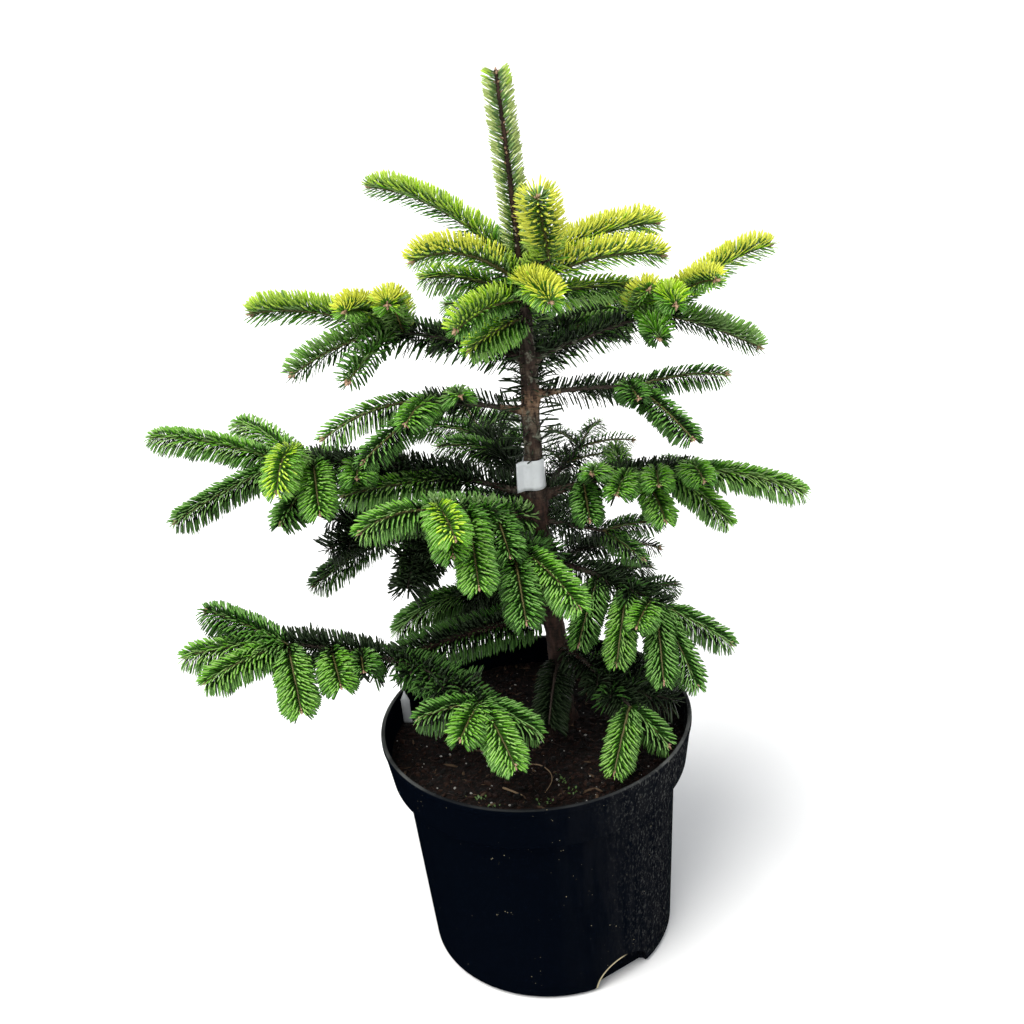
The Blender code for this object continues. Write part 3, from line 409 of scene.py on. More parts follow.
class CompostSettings(bpy.types.PropertyGroup):
    crumbs: IntProperty(name="Crumbs", description="Lumps of bark compost on the surface", default=2800)
    bed: colour_property("Bed", "Damp compost", (0.0034, 0.0019, 0.0012))
    black: colour_property("Black Crumbs", "Wet crumbs", (0.0024, 0.0015, 0.0010))
    red: colour_property("Red Crumbs", "Bark crumbs", (0.0130, 0.0040, 0.0019))
    brown: colour_property("Brown Crumbs", "Dry crumbs", (0.0230, 0.0088, 0.0040))
    tan: colour_property("Tan Chips", "Wood chips", (0.080, 0.050, 0.028))
    pale: colour_property("Pale Grit", "Grit in the compost", (0.360, 0.350, 0.320))
    moss: colour_property("Seedlings", "Tiny seedlings on the compost", (0.080, 0.160, 0.032))
    straw: colour_property("Straw", "Dry stalks on the compost", (0.260, 0.175, 0.095))


class StageSettings(bpy.types.PropertyGroup):
    lens: FloatProperty(
        name="Lens", description="Focal length of the camera", default=45.70, subtype="DISTANCE_CAMERA"
    )
    key: FloatProperty(name="Key Light", description="Strength of the soft light from above", default=3.9)
    fill: FloatProperty(name="Fill Light", description="Strength of the light from the front", default=0.5)
    sky: FloatProperty(name="Sky", description="Strength of the even light from all round", default=0.56)
    floor: colour_property("Floor", "Colour of the floor", (0.93, 0.93, 0.93))


def smooth_value(table, at):
    """A smooth curve through the table's points: Catmull-Rom slopes on cubic pieces."""
    xs = np.array([row[0] for row in table])
    ys = np.array([row[1] for row in table])
    at = float(np.clip(at, xs[0], xs[-1]))
    i = int(np.clip(np.searchsorted(xs, at) - 1, 0, len(xs) - 2))
    slopes = np.gradient(ys, xs)
    span = xs[i + 1] - xs[i]
    t = (at - xs[i]) / span
    start = (1 + 2 * t) * (1 - t) ** 2 * ys[i] + t * (1 - t) ** 2 * span * slopes[i]
    end = t * t * (3 - 2 * t) * ys[i + 1] - t * t * (1 - t) * span * slopes[i + 1]
    return start + end


def trunk_centre(height):
    return np.array([smooth_value(TRUNK_LINE, height), TRUNK_Y, height])


def trunk_radius(height):
    return np.interp(height, *zip(*TRUNK_GIRTH))


def limb_radius(height):
    return float(np.interp(height, *zip(*LIMB_RADIUS)))


def direction(heading, rise):
    turn, tilt = math.radians(heading), math.radians(rise)
    return np.array([math.cos(tilt) * math.cos(turn), math.cos(tilt) * math.sin(turn), math.sin(tilt)])


def arc(start, heading, rise, length, arch, first=0.0, last=1.0):
    """Points a few millimetres apart along a stem that rises over its chord and droops again."""
    count = max(3, round(length * (last - first) / STEM_STEP) + 1)
    t = np.linspace(first, last, count)[:, None]
    return start + t * length * direction(heading, rise) + t * (1 - t) * 4 * arch * length * UP


def tangents(path):
    slopes = np.gradient(path, axis=0)
    return slopes / np.linalg.norm(slopes, axis=1)[:, None]


def unit(vectors):
    return vectors / np.linalg.norm(vectors, axis=-1, keepdims=True)


def frames(path):
    """For each point, the direction of travel and the two that cross it, sideways and upward."""
    along = tangents(path)
    hint = np.where(np.abs(along[:, 2:]) > 0.95, np.array([0.0, 1.0, 0.0]), UP)
    side = unit(np.cross(along, hint))
    return along, side, np.cross(side, along)


def along_path(values, at):
    """Points between a path's own, at places counted in its points."""
    return np.stack([np.interp(at, range(len(values)), values[:, k]) for k in range(3)], axis=1)


def resample(path, count):
    """The same path with its points evenly spaced."""
    steps = np.linalg.norm(np.diff(path, axis=0), axis=1)
    run = np.concatenate([[0], np.cumsum(steps)])
    at = np.linspace(0, run[-1], count)
    return np.stack([np.interp(at, run, path[:, k]) for k in range(3)], axis=1)


def path_length(path):
    return float(np.linalg.norm(np.diff(path, axis=0), axis=1).sum())


def seeded(name):
    """Random draws that are the same for the same name."""
    return np.random.default_rng(random.Random(name).getrandbits(32))


# Growth

# A stretch of stem: its whorl, path, radii at both ends, how its needles stand and how old its wood is
Stem = namedtuple("Stem", "name group path thick thin lift tint habit young")


def far_side_shoots(name, bough):
    """Short drooping side shoots on the side away from the front, at a seeded turn and length."""
    rng = random.Random(name)
    side = 1 if math.cos(math.radians(bough.heading)) > 0 else -1
    tint = FAR_TINTS[name.split("_")[0]]
    shoots = []
    for share in SIDE_SHARES:
        along = share + rng.uniform(-SIDE_SLIP, SIDE_SLIP)
        turn = side * rng.uniform(*SIDE_TURN)
        rise = rng.uniform(*SIDE_RISE)
        shoots.append(Shoot(along, turn, rise, rng.uniform(*SIDE_LENGTH), SIDE_ARCH, tint))
    return tuple(shoots)


def far_bough(name, height, heading, rise, length):
    """A bough that forks as firs do: the stem goes on, with a pair of side shoots at each year's end."""
    rng = random.Random(name)
    tint = FAR_TINTS[name.split("_")[0]]
    turn = rng.uniform(-FAR_WANDER[0], FAR_WANDER[0])
    lead_rise = rise + rng.uniform(-FAR_WANDER[1], FAR_WANDER[1])
    shoots = [Shoot(1.0, turn, lead_rise, length * FAR_LEAD, FAR_SHOOT_ARCH, tint)]
    for along, share in FAR_FORKS:
        for side in (-1, 1):
            turn = side * rng.uniform(*FAR_TURN)
            dip = rng.uniform(*FAR_DIP)
            reach = length * share * rng.uniform(*FAR_SPREAD)
            shoots.append(Shoot(along, turn, rise + dip, reach, FAR_SHOOT_ARCH, tint))
    return Bough(height, heading, rise, length, FAR_ARCH, FAR_BARE, FAR_LIFT, OLD, tuple(shoots))


def all_boughs():
    """Every bough that leaves the trunk, with the side shoots that the rules add."""
    boughs = {}
    for name, bough in BOUGHS.items():
        added = far_side_shoots(name, bough) if bough.bare and name != FORK_LIMB else ()
        boughs[name] = bough._replace(shoots=bough.shoots + added)
    for name, row in FAR_BOUGHS.items():
        boughs[name] = far_bough(name, *row)
    return boughs


def habit_of(bough, old_wood, rise=0):
    if old_wood:
        return "round"
    if rise > STEEP:
        return "bottle"
    return "brush" if bough.lift >= BRUSH_LIFT else "comb"


def shoot_stem(name, group, bough, shoot, base, thick):
    path = arc(base, bough.heading + shoot.turn, shoot.rise, shoot.length, shoot.arch)
    habit = habit_of(bough, shoot.tint == OLD, shoot.rise)
    return Stem(name, group, path, thick, TIP_RADIUS, bough.lift, shoot.tint, habit, shoot.tint > OLD)


def shoots_of(name, group, bough, start, first, thick):
    """The stems of one mass; the first shoot at the end carries the stem on."""
    whole = arc(start, bough.heading, bough.rise, bough.length, bough.arch)
    own = arc(start, bough.heading, bough.rise, bough.length, bough.arch, first)
    shoots = list(bough.shoots)
    if not shoots:
        habit = habit_of(bough, False)
        return [Stem(name, group, own, thick, TIP_RADIUS, bough.lift, bough.tint, habit, bough.tint > OLD)]
    lead = shoots.pop(0) if shoots[0].along == 1.0 else None
    reach = bough.length + (lead.length if lead else 0.0)
    node = thick + (TIP_RADIUS - thick) * bough.length / reach
    stems = [Stem(name, group, own, thick, node, bough.lift, bough.tint, habit_of(bough, True), False)]
    if lead:
        stems.append(shoot_stem(name + "_lead", group, bough, lead, whole[-1], node))
    for k, shoot in enumerate(shoots):
        base = whole[round(min(shoot.along, LAST_FORK) * (len(whole) - 1))]
        stems.append(shoot_stem(f"{name}_{k}", group, bough, shoot, base, SHOOT_RADIUS))
    return stems


def finer_twigs(stem):
    """Short twigs on both sides of a stretch of old wood, within the reach of its needles."""
    rng = random.Random(stem.name + "finer")
    whole = path_length(stem.path)
    twigs = []
    for k in range(int((whole * TWIG_LAST - FOOT_ZONE) / TWIG_GAP)):
        at = round((FOOT_ZONE + k * TWIG_GAP) / whole * (len(stem.path) - 1))
        ahead = tangents(stem.path)[at]
        heading = math.degrees(math.atan2(ahead[1], ahead[0])) + (-1) ** k * rng.uniform(*TWIG_TURN)
        path = arc(stem.path[at], heading, rng.uniform(*TWIG_RISE), rng.uniform(*TWIG_LENGTH), SIDE_ARCH)
        tint = stem.tint if k % 3 else min(stem.tint + 1, DEEP)
        twigs.append(Stem(f"{stem.name}_f{k}", stem.group, path, *TWIG_RADII, 0, tint, "round", False))
    return twigs


def grown_stems():
    """All stems of the crown: first the bare limbs, then what grows on from them."""
    limbs, stems = [], []
    for name, bough in all_boughs().items():
        group = name.split("_")[0]
        start = trunk_centre(bough.height)
        if bough.bare:
            thick = limb_radius(bough.height)
            path = arc(start, bough.heading, bough.rise, bough.length, bough.arch, 0, bough.bare)
            limbs.append(Stem(name, group, path, thick, thick * LIMB_TAPER, 0, bough.tint, "round", False))
        if name == FORK_LIMB:
            fork = arc(start, bough.heading, bough.rise, bough.length, bough.arch)[-1]
            for mass, fork_bough in FORK_MASSES.items():
                stems += shoots_of(mass, group, fork_bough, fork, 0.0, FORK_STEMS[mass])
            continue
        thick = limb_radius(bough.height) * LIMB_TAPER if bough.bare else TOP_STEM_RADIUS
        stems += shoots_of(name, group, bough, start, bough.bare, thick)
    for stem in list(stems):
        if stem.group in TWIG_GROUPS and stem.habit == "round":
            stems += finer_twigs(stem)
    return limbs, stems


# Meshes

class Pile:
    """Points and faces of many small shapes, gathered into one mesh."""

    def __init__(self):
        self.points = []
        self.faces = []
        self.slots = []
        self.count = 0

    def add(self, points, faces, slots=0):
        """Faces are rows of point numbers, all rows of one size; slots is one number or one per face."""
        faces = np.asarray(faces) + self.count
        self.faces.append(faces)
        self.slots.append(np.broadcast_to(slots, len(faces)))
        if points is not None:
            self.points.append(np.asarray(points, dtype=np.float64).reshape(-1, 3))

    def close(self):
        """The faces added so far are done with their points, so the next ones count from here."""
        self.count = sum(len(part) for part in self.points)

    def build(self, name, finishes, smooth=False):
        points = np.concatenate(self.points)
        corners = np.concatenate([part.ravel() for part in self.faces])
        sizes = np.concatenate([np.full(len(part), part.shape[1]) for part in self.faces])
        starts = np.concatenate([[0], np.cumsum(sizes)[:-1]])
        mesh = bpy.data.meshes.new(name)
        mesh.vertices.add(len(points))
        mesh.vertices.foreach_set("co", points.astype(np.float32).ravel())
        mesh.loops.add(len(corners))
        mesh.loops.foreach_set("vertex_index", corners.astype(np.int32))
        mesh.polygons.add(len(sizes))
        mesh.polygons.foreach_set("loop_start", starts.astype(np.int32))
        mesh.polygons.foreach_set("material_index", np.concatenate(self.slots).astype(np.int32))
        mesh.update(calc_edges=True)
        for finish in finishes:
            mesh.materials.append(finish)
        if smooth:
            mesh.shade_smooth()
        made = bpy.data.objects.new(name, mesh)
        bpy.context.scene.collection.objects.link(made)
        return made


def ring_angles(sides):
    return 2 * np.pi * np.arange(sides) / sides


def ring_faces(rings, sides):
    """Quads between rings of points that are numbered one after another, and triangle fans over both ends."""
    i, j = np.meshgrid(np.arange(rings - 1), np.arange(sides), indexing="ij")
    a, b = i * sides + j, i * sides + (j + 1) % sides
    quads = np.stack([a, b, b + sides, a + sides], axis=-1).reshape(-1, 4)
    last = (rings - 1) * sides
    fans = []
    for k in range(1, sides - 1):
        fans += [(0, k + 1, k), (last, last + k, last + k + 1)]
    return quads, np.array(fans)


def skinned(rings):
    """A closed shape over rings of equal size."""
    rings = np.asarray(rings)
    quads, fans = ring_faces(*rings.shape[:2])
    pile = Pile()
    pile.add(rings, quads)
    pile.add(None, fans)
    return pile


def tube(pile, path, radii, sides, slot=0, bumps=None):
    """A round stem along a path, closed at both ends; bumps are shares of the radius by ring and side."""
    _, side, upward = frames(path)
    angles = -ring_angles(sides)
    out = side[:, None] * np.cos(angles)[None, :, None] + upward[:, None] * np.sin(angles)[None, :, None]
    reach = np.asarray(radii)[:, None] * (1 if bumps is None else 1 + bumps)
    quads, fans = ring_faces(len(path), sides)
    pile.add(path[:, None] + out * reach[..., None], quads, slot)
    pile.add(None, fans, slot)
    pile.close()


def turned(outline, sides):
    """Points of a profile of (radius, height) turned about the upright axis, ring by ring."""
    angles = ring_angles(sides)
    outline = np.asarray(outline)
    x = outline[:, :1] * np.cos(angles)
    y = outline[:, :1] * np.sin(angles)
    return np.stack([x, y, np.broadcast_to(outline[:, 1:], x.shape)], axis=-1)


def rounded(outline, radius, steps=4):
    """A polyline with its inner corners replaced by short curves."""
    outline = [np.array(point, dtype=float) for point in outline]
    made = [outline[0]]
    for before, corner, after in zip(outline, outline[1:], outline[2:]):
        reach_in = min(radius, np.linalg.norm(before - corner) * 0.45)
        reach_out = min(radius, np.linalg.norm(after - corner) * 0.45)
        start = corner + reach_in * unit(before - corner)
        end = corner + reach_out * unit(after - corner)
        for t in np.linspace(0, 1, steps):
            made.append((1 - t) ** 2 * start + 2 * t * (1 - t) * corner + t * t * end)
    return made + [outline[-1]]


def place(piece, slot, *nodes):
    """The piece moves with the plant and stands for some solids; slot is not used."""
    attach(piece, "root")
    if nodes:
        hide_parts(*nodes)
    return piece


# Finishes

class Value:
    """A shader socket that carries a number; arithmetic on it adds Math nodes."""

    def __init__(self, finish, socket):
        self.finish = finish
        self.socket = socket

    def math(self, operation, *values):
        node = self.finish.node("ShaderNodeMath", {"operation": operation}, dict(enumerate(values)))
        return Value(self.finish, node.outputs[0])

    def __add__(self, other):
        return self.math("ADD", self, other)

    def __sub__(self, other):
        return self.math("SUBTRACT", self, other)

    def __rsub__(self, other):
        return self.math("SUBTRACT", other, self)

    def __mul__(self, other):
        return self.math("MULTIPLY", self, other)

    def __pow__(self, other):
        return self.math("POWER", self, other)

    def __rpow__(self, other):
        return self.math("POWER", other, self)

    __radd__ = __add__
    __rmul__ = __mul__

    def at_least(self, other):
        return self.math("MAXIMUM", self, other)

    def at_most(self, other):
        return self.math("MINIMUM", self, other)

    def size(self):
        return self.math("ABSOLUTE", self)

    def between(self, low, high):
        """0 up to low, 1 from high on, and a smooth step between them."""
        values = {"Value": self, "From Min": low, "From Max": high}
        node = self.finish.node("ShaderNodeMapRange", {"interpolation_type": "SMOOTHSTEP"}, values)
        return Value(self.finish, node.outputs[0])


class Finish:
    """One material: its Principled shader's constants, and nodes that vary it over the surface."""

    def __init__(self, name, colour, roughness, **constants):
        self.material = bpy.data.materials.new(name)
        self.material.use_nodes = True
        self.tree = self.material.node_tree
        self.shader = self.tree.nodes["Principled BSDF"]
        self.shader.inputs["Base Color"].default_value = (*colour[:3], 1.0)
        self.shader.inputs["Roughness"].default_value = roughness
        for socket, value in constants.items():
            self.shader.inputs[socket.replace("_", " ")].default_value = value

    def node(self, kind, settings, values):
        """Add a node: its settings come first, then a value or a link for each of its sockets."""
        made = self.tree.nodes.new(kind)
        for name, setting in settings.items():
            setattr(made, name, setting)
        for name, value in values.items():
            if isinstance(value, Value):
                value = value.socket
            if isinstance(value, bpy.types.NodeSocket):
                self.tree.links.new(value, made.inputs[name])
            else:
                made.inputs[name].default_value = value
        return made

    def place(self, stretch=(1, 1, 1)):
        """Object coordinates, stretched along their axes."""
        values = {0: self.node("ShaderNodeTexCoord", {}, {}).outputs["Object"], 1: stretch}
        return self.node("ShaderNodeVectorMath", {"operation": "MULTIPLY"}, values).outputs[0]

    def axes(self):
        node = self.node("ShaderNodeSeparateXYZ", {}, {0: self.place()})
        return [Value(self, socket) for socket in node.outputs]

    def noise(self, scale, detail=4.0, roughness=0.55, stretch=(1, 1, 1)):
        values = {"Vector": self.place(stretch), "Scale": scale, "Detail": detail, "Roughness": roughness}
        return Value(self, self.node("ShaderNodeTexNoise", {}, values).outputs[0])

    def cells(self, scale, stretch=(1, 1, 1)):
        values = {"Vector": self.place(stretch), "Scale": scale}
        return Value(self, self.node("ShaderNodeTexVoronoi", {}, values).outputs["Distance"])

    def mix(self, factor, first, second):
        """A colour between two, each a colour or a link."""
        values = {0: factor}
        for socket, colour in ((6, first), (7, second)):
            values[socket] = colour if isinstance(colour, bpy.types.NodeSocket) else (*colour[:3], 1.0)
        return self.node("ShaderNodeMix", {"data_type": "RGBA"}, values).outputs[2]

    def vary(self, **links):
        for name, link in links.items():
            socket = link.socket if isinstance(link, Value) else link
            self.tree.links.new(socket, self.shader.inputs[name.replace("_", " ")])
        return self.material

    def bump(self, height, distance, strength=1.0):
        values = {"Strength": strength, "Distance": distance, "Height": height}
        return self.node("ShaderNodeBump", {}, values).outputs[0]


def arch_edge(finish, heading):
    """1 along the rim of a drainage arch on the pot's wall, 0 elsewhere."""
    x, y, z = finish.axes()
    turn = math.radians(heading)
    across = y * math.cos(turn) - x * math.sin(turn)
    outward = x * math.cos(turn) + y * math.sin(turn)
    reach = (across * across + z * z) ** 0.5
    edge = 1 - (reach - ARCH_RADIUS).size().between(0.0008, 0.0020)
    outer = ((x * x + y * y) ** 0.5).between(BASE_RADIUS - 0.0030, BASE_RADIUS - 0.0015)
    return edge * outer * outward.between(0.08, 0.10) * (1 - across.between(-0.006, 0.004))


def pot_finish(settings):
    finish = Finish("pot_plastic_worn", settings.plastic, 0.42, Specular_IOR_Level=0.0)
    x, y, z = finish.axes()
    grain = finish.noise(900, 3)
    streaks = finish.noise(60, 6, 0.7, (1, 1, 0.12))
    specks = 1 - finish.cells(260).between(0.04, 0.16)
    rare = finish.noise(70, 2).between(0.60, 0.72)
    right = (x * 0.94 - y * 0.34).between(0.085, 0.150)
    scuffs = finish.noise(420, 5, 0.75, (1, 1, 0.45)).between(0.50, 0.68)
    film = (x * 0.90 - y * 0.44).between(0.050, 0.160) * streaks.between(0.30, 0.70) * 0.08
    dirt = film + right * scuffs * 0.75
    colour = finish.mix(dirt, settings.plastic, settings.dust)
    # Painted highlight: a pale grey line along the top of the rim, broken up by noise and faded at the front
    highlight_breaks = finish.noise(26, 2).between(0.36, 0.62)
    front = (0 - y).between(0.070, 0.135)
    lip_highlight = z.between(POT_TOP - 0.0014, POT_TOP - 0.0004) * (0.20 + grain * 0.2 + highlight_breaks * 0.5)
    colour = finish.mix(lip_highlight * (1 - front * 0.8), colour, settings.lip_highlight)
    pale = (specks * rare).at_least(arch_edge(finish, ARCH_HEADINGS[0]))
    colour = finish.mix(pale, colour, settings.scrape)
    roughness = 0.40 + dirt * 0.4 + grain * 0.10
    bump = finish.bump(grain * 0.3 + right * scuffs, 0.0006, 0.55)
    return finish.vary(Base_Color=colour, Roughness=roughness, Normal=bump)


# Old needle scars on the bark
SCAR_COLOUR = (0.34, 0.30, 0.24)


def bark_finish(settings, name="fir_bark"):
    finish = Finish(name, settings.light, 0.86, Specular_IOR_Level=0.3)
    plates = finish.noise(210, 6, 0.66, (1, 1, 0.34))
    rings = finish.noise(380, 3, 0.6, (0.22, 0.22, 1.8))
    height = finish.axes()[2]
    low = 1 - height.between(0.455, 0.485)
    high = height.between(0.640, 0.690)
    light = (plates * 0.72 + rings * 0.28).between(0.40, 0.64)
    reddish = low + high + finish.noise(34, 3).between(0.50, 0.60) * 0.8
    plate_colour = finish.mix(reddish.at_most(1.0), settings.light, settings.red)
    colour = finish.mix(light, settings.dark, plate_colour)
    shaded = height.between(0.585, 0.605) * (1 - height.between(0.655, 0.680)) * 0.65
    colour = finish.mix(shaded, colour, settings.dark)
    knuckle = 1 - (height - KNUCKLE_HEIGHT).size().between(0.004, 0.016)
    colour = finish.mix(knuckle * light * 0.75, colour, settings.knuckle)
    lichen = finish.noise(95, 5, 0.65).between(0.54, 0.64) * (1 - low) * (1 - high) * 0.75
    colour = finish.mix(lichen, colour, settings.lichen)
    scars = (1 - finish.cells(150, (1, 1, 0.8)).between(0.10, 0.20)) * (high * 0.9 + (1 - low) * 0.25)
    colour = finish.mix(scars, colour, SCAR_COLOUR)
    bump = finish.bump(plates * 0.7 + rings * 0.3, 0.0010, 0.85)
    return finish.vary(Base_Color=colour, Roughness=0.95 - light * 0.18, Normal=bump)


def compost_finish(settings):
    finish = Finish("bark_compost", settings.bed, 0.92, Specular_IOR_Level=0.2)
    lumps = finish.noise(240, 6, 0.65)
    colour = finish.mix(lumps.between(0.40, 0.66), settings.black, settings.red)
    bump = finish.bump(lumps + finish.noise(900, 3) * 0.4, 0.002, 0.9)
    return finish.vary(Base_Color=colour, Roughness=0.98 - lumps * 0.25, Normal=bump)


def film_finish(name, colour, roughness):
    """Plastic film that has been outdoors: faint dirt and a slight waviness."""
    finish = Finish(name, colour, roughness)
    dirt = finish.noise(160, 5, 0.6).between(0.50, 0.80) * 0.35
    tone = finish.mix(dirt, colour, [value * 0.62 for value in colour])
    bump = finish.bump(finish.noise(90, 2), 0.0005, 0.25)
    return finish.vary(Base_Color=tone, Roughness=roughness + dirt * 0.3, Normal=bump)


def plain_finish(name, colour, roughness, **constants):
    """One even colour: needles, twigs and crumbs are too small to show a pattern."""
    return Finish(name, colour, roughness, **constants).material


def floor_finish(colour):
    finish = Finish("pale_floor", colour, 0.85)
    tone = finish.mix(finish.noise(3, 2).between(0.3, 0.7), colour, [value * 0.985 for value in colour])
    return finish.vary(Base_Color=tone)


# Needles

# A needle's sections: (share of its length, half width, ridge), in shares of its width; the last is a point
NEEDLE_SECTIONS = ((0.0, 0.26, 0.10), (0.54, 0.50, 0.27), (0.88, 0.43, 0.22), (1.0, 0.0, 0.0))
# How needles stand round a stem. low_share of them are lower ones: they stand at the angles low above the
# side, and the others at the angles high, in degrees from the first to the last. sweeps and sizes are the
# forward sweep and the length of the lower ones, and of the upper ones at the side and at the top. twist
# turns each one its own way, droop and reach bend it down and forward, and tip gives the needles at the
# shoot's end a further sweep and their length.
Habit = namedtuple("Habit", "low_share low high sweeps sizes per_metre twist droop reach tip")
HABITS = {
    "brush": Habit(
        low_share=0.34, low=(-54, -10), high=(14, 88), sweeps=(34, 22, 12), sizes=(0.86, 1.00, 0.92),
        per_metre=3800, twist=0.36, droop=0.0, reach=0.10, tip=(18, 0.56),
    ),
    "bottle": Habit(
        low_share=0.50, low=(-86, 0), high=(0, 86), sweeps=(27, 27, 27), sizes=(1.12, 1.12, 1.12),
        per_metre=4200, twist=0.50, droop=0.0, reach=0.06, tip=(-4, 0.84),
    ),
    "comb": Habit(
        low_share=0.52, low=(-42, -14), high=(-6, 66), sweeps=(18, 22, 40), sizes=(0.94, 1.00, 0.78),
        per_metre=3900, twist=0.20, droop=0.26, reach=0.0, tip=(20, 0.56),
    ),
    "round": Habit(
        low_share=0.42, low=(-68, -6), high=(6, 84), sweeps=(16, 20, 24), sizes=(1.10, 1.00, 0.90),
        per_metre=2700, twist=0.35, droop=0.10, reach=0.0, tip=(20, 0.80),
    ),
    "trunk": Habit(
        low_share=0.50, low=(-90, 0), high=(0, 90), sweeps=(14, 14, 14), sizes=(1.25, 1.25, 1.25),
        per_metre=1500, twist=0.60, droop=0.10, reach=0.0, tip=(0, 1.0),
    ),
    "leader": Habit(
        low_share=0.50, low=(-60, 0), high=(0, 60), sweeps=(30, 30, 30), sizes=(0.74, 0.74, 0.74),
        per_metre=4200, twist=0.90, droop=0.0, reach=0.06, tip=(-6, 0.86),
    ),
}
# Habits whose needles are a tint lighter in their inner half
SUNNY_HABITS = ("brush", "bottle", "leader")
# How far combed shoots that lie across the front turn their upper side to it, in degrees
FRONT_ROLL = 12
# The length of the needles at a shoot's foot, and the share of the stem's radius at which all needles root
FOOT_SIZE = 0.66
ROOTING = 0.7
FEWEST_NEEDLES = 6
# How far needles keep from the trunk along a limb, and the largest share of a limb that this bares
FOOT_MARGIN = 0.003
LARGEST_FOOT = 0.9

# Painted shade: needles that rise less than the first, in radians above the side, are a tint darker, and less
# than the second darker yet; on lit combs the first is higher by LIT_COMB_SHADE
BRUSH_SHADE = (0.45, -0.25)
COMB_SHADE = (0.15, -0.5)
LIT_COMB_SHADE = 0.4
LEADER_SHADE = -0.6
# So are those at the foot of a shoot, and the leader's last tenth is lighter
FOOT_SHADE = 0.20
LEADER_GLOW_FROM = 0.90
LEADER_GLOW = 1.4
TINT_SPREAD = 0.28

TINT_NAMES = LEVEL_NAMES + (
    "under_dull", "under_pale", "under_lime", "under_gold",
    "edge_old", "edge_deep", "edge_leaf", "edge_fresh", "edge_lime", "sage", "edge_sage",
)
UNDER_DULL, UNDER_PALE, UNDER_LIME, UNDER_GOLD = range(6, 10)
HIGHLIGHT_OLD, HIGHLIGHT_DEEP, HIGHLIGHT_LEAF, HIGHLIGHT_FRESH, HIGHLIGHT_LIME = range(10, 15)
SAGE, HIGHLIGHT_SAGE = range(15, 17)
# For each level: the tints of a needle's blade, underside and painted highlight, each in its inner and outer
# half.
# The last row is the leader's.
NEEDLE_TINTS = np.array([
    ((OLD, OLD), (UNDER_DULL, UNDER_DULL), (OLD, HIGHLIGHT_OLD)),
    ((OLD, DEEP), (UNDER_DULL, UNDER_DULL), (OLD, HIGHLIGHT_DEEP)),
    ((DEEP, LEAF), (UNDER_DULL, UNDER_PALE), (DEEP, HIGHLIGHT_LEAF)),
    ((LEAF, FRESH), (UNDER_PALE, UNDER_PALE), (HIGHLIGHT_DEEP, HIGHLIGHT_FRESH)),
    ((FRESH, LIME), (UNDER_PALE, UNDER_LIME), (HIGHLIGHT_LEAF, HIGHLIGHT_LIME)),
    ((FRESH, GOLD), (UNDER_PALE, UNDER_GOLD), (HIGHLIGHT_FRESH, GOLD)),
    ((UNDER_PALE, SAGE), (UNDER_PALE, SAGE), (HIGHLIGHT_FRESH, HIGHLIGHT_SAGE)),
])
SAGE_ROW = len(NEEDLE_TINTS) - 1


def clothed_trunk():
    """The stretch of the trunk that still has needles of its own."""
    line = np.array([trunk_centre(height) for height in np.arange(*TRUNK_NEEDLES, STEM_STEP)])
    thick, thin = trunk_radius(TRUNK_NEEDLES[0]), trunk_radius(TRUNK_NEEDLES[1])
    return Stem("trunk", TRUNK_NEEDLE_GROUP, line, thick / ROOTING, thin / ROOTING, 0, OLD, "trunk", False)


def leader_stem():
    """The trunk's last stretch, which its own upswept needles clothe."""
    line = np.array([trunk_centre(height) for height in np.arange(LEADER_FOOT, TRUNK_TIP, STEM_STEP)])
    thick, thin = trunk_radius(LEADER_FOOT), trunk_radius(TRUNK_TIP)
    return Stem("leader", "top", line, thick, thin, 0, LIME, "leader", True)


def foot_share(limb):
    """The share of a bare limb that lies inside the trunk, and so has no needles."""
    return min(LARGEST_FOOT, (trunk_radius(limb.path[0][2]) + FOOT_MARGIN) / path_length(limb.path))


def clothed_stems(group, limbs, stems):
    """(stem, share) of each stem of a whorl that has needles, which start at that share of it."""
    clothed = [(stem, 0.0) for stem in stems if stem.group == group]
    clothed += [(limb, foot_share(limb)) for limb in limbs if limb.group == group]
    if group == TRUNK_NEEDLE_GROUP:
        clothed.append((clothed_trunk(), 0.0))
    if group == "top":
        clothed.append((leader_stem(), 0.0))
    return clothed


def sides_of(group, clothed):
    """The largest whorls' needles are two pieces each, left and right; any other's are one."""
    if group not in SPLIT_GROUPS:
        return [("", clothed)]
    left = [row for row in clothed if row[0].path[-1][0] < 0]
    right = [row for row in clothed if row[0].path[-1][0] >= 0]
    return [("_left", left), ("_right", right)]


def growth_of(name):
    """How full and how long a stem's needles are, against most."""
    known = max((start for start in GROWTH if name.startswith(start)), key=len, default=None)
    return GROWTH.get(known, (1.0, 1.0))


def needle_frames(stem, at):
    """The stem's frames where needles stand; combs that lie across the front are rolled towards it."""
    along, side, upward = [along_path(values, at) for values in frames(stem.path)]
    if stem.habit == "comb":
        roll = np.radians(-FRONT_ROLL * side[:, 1])[:, None]
        cos, sin = np.cos(roll), np.sin(roll)
        side, upward = cos * side - sin * upward, cos * upward + sin * side
    return along, side, upward


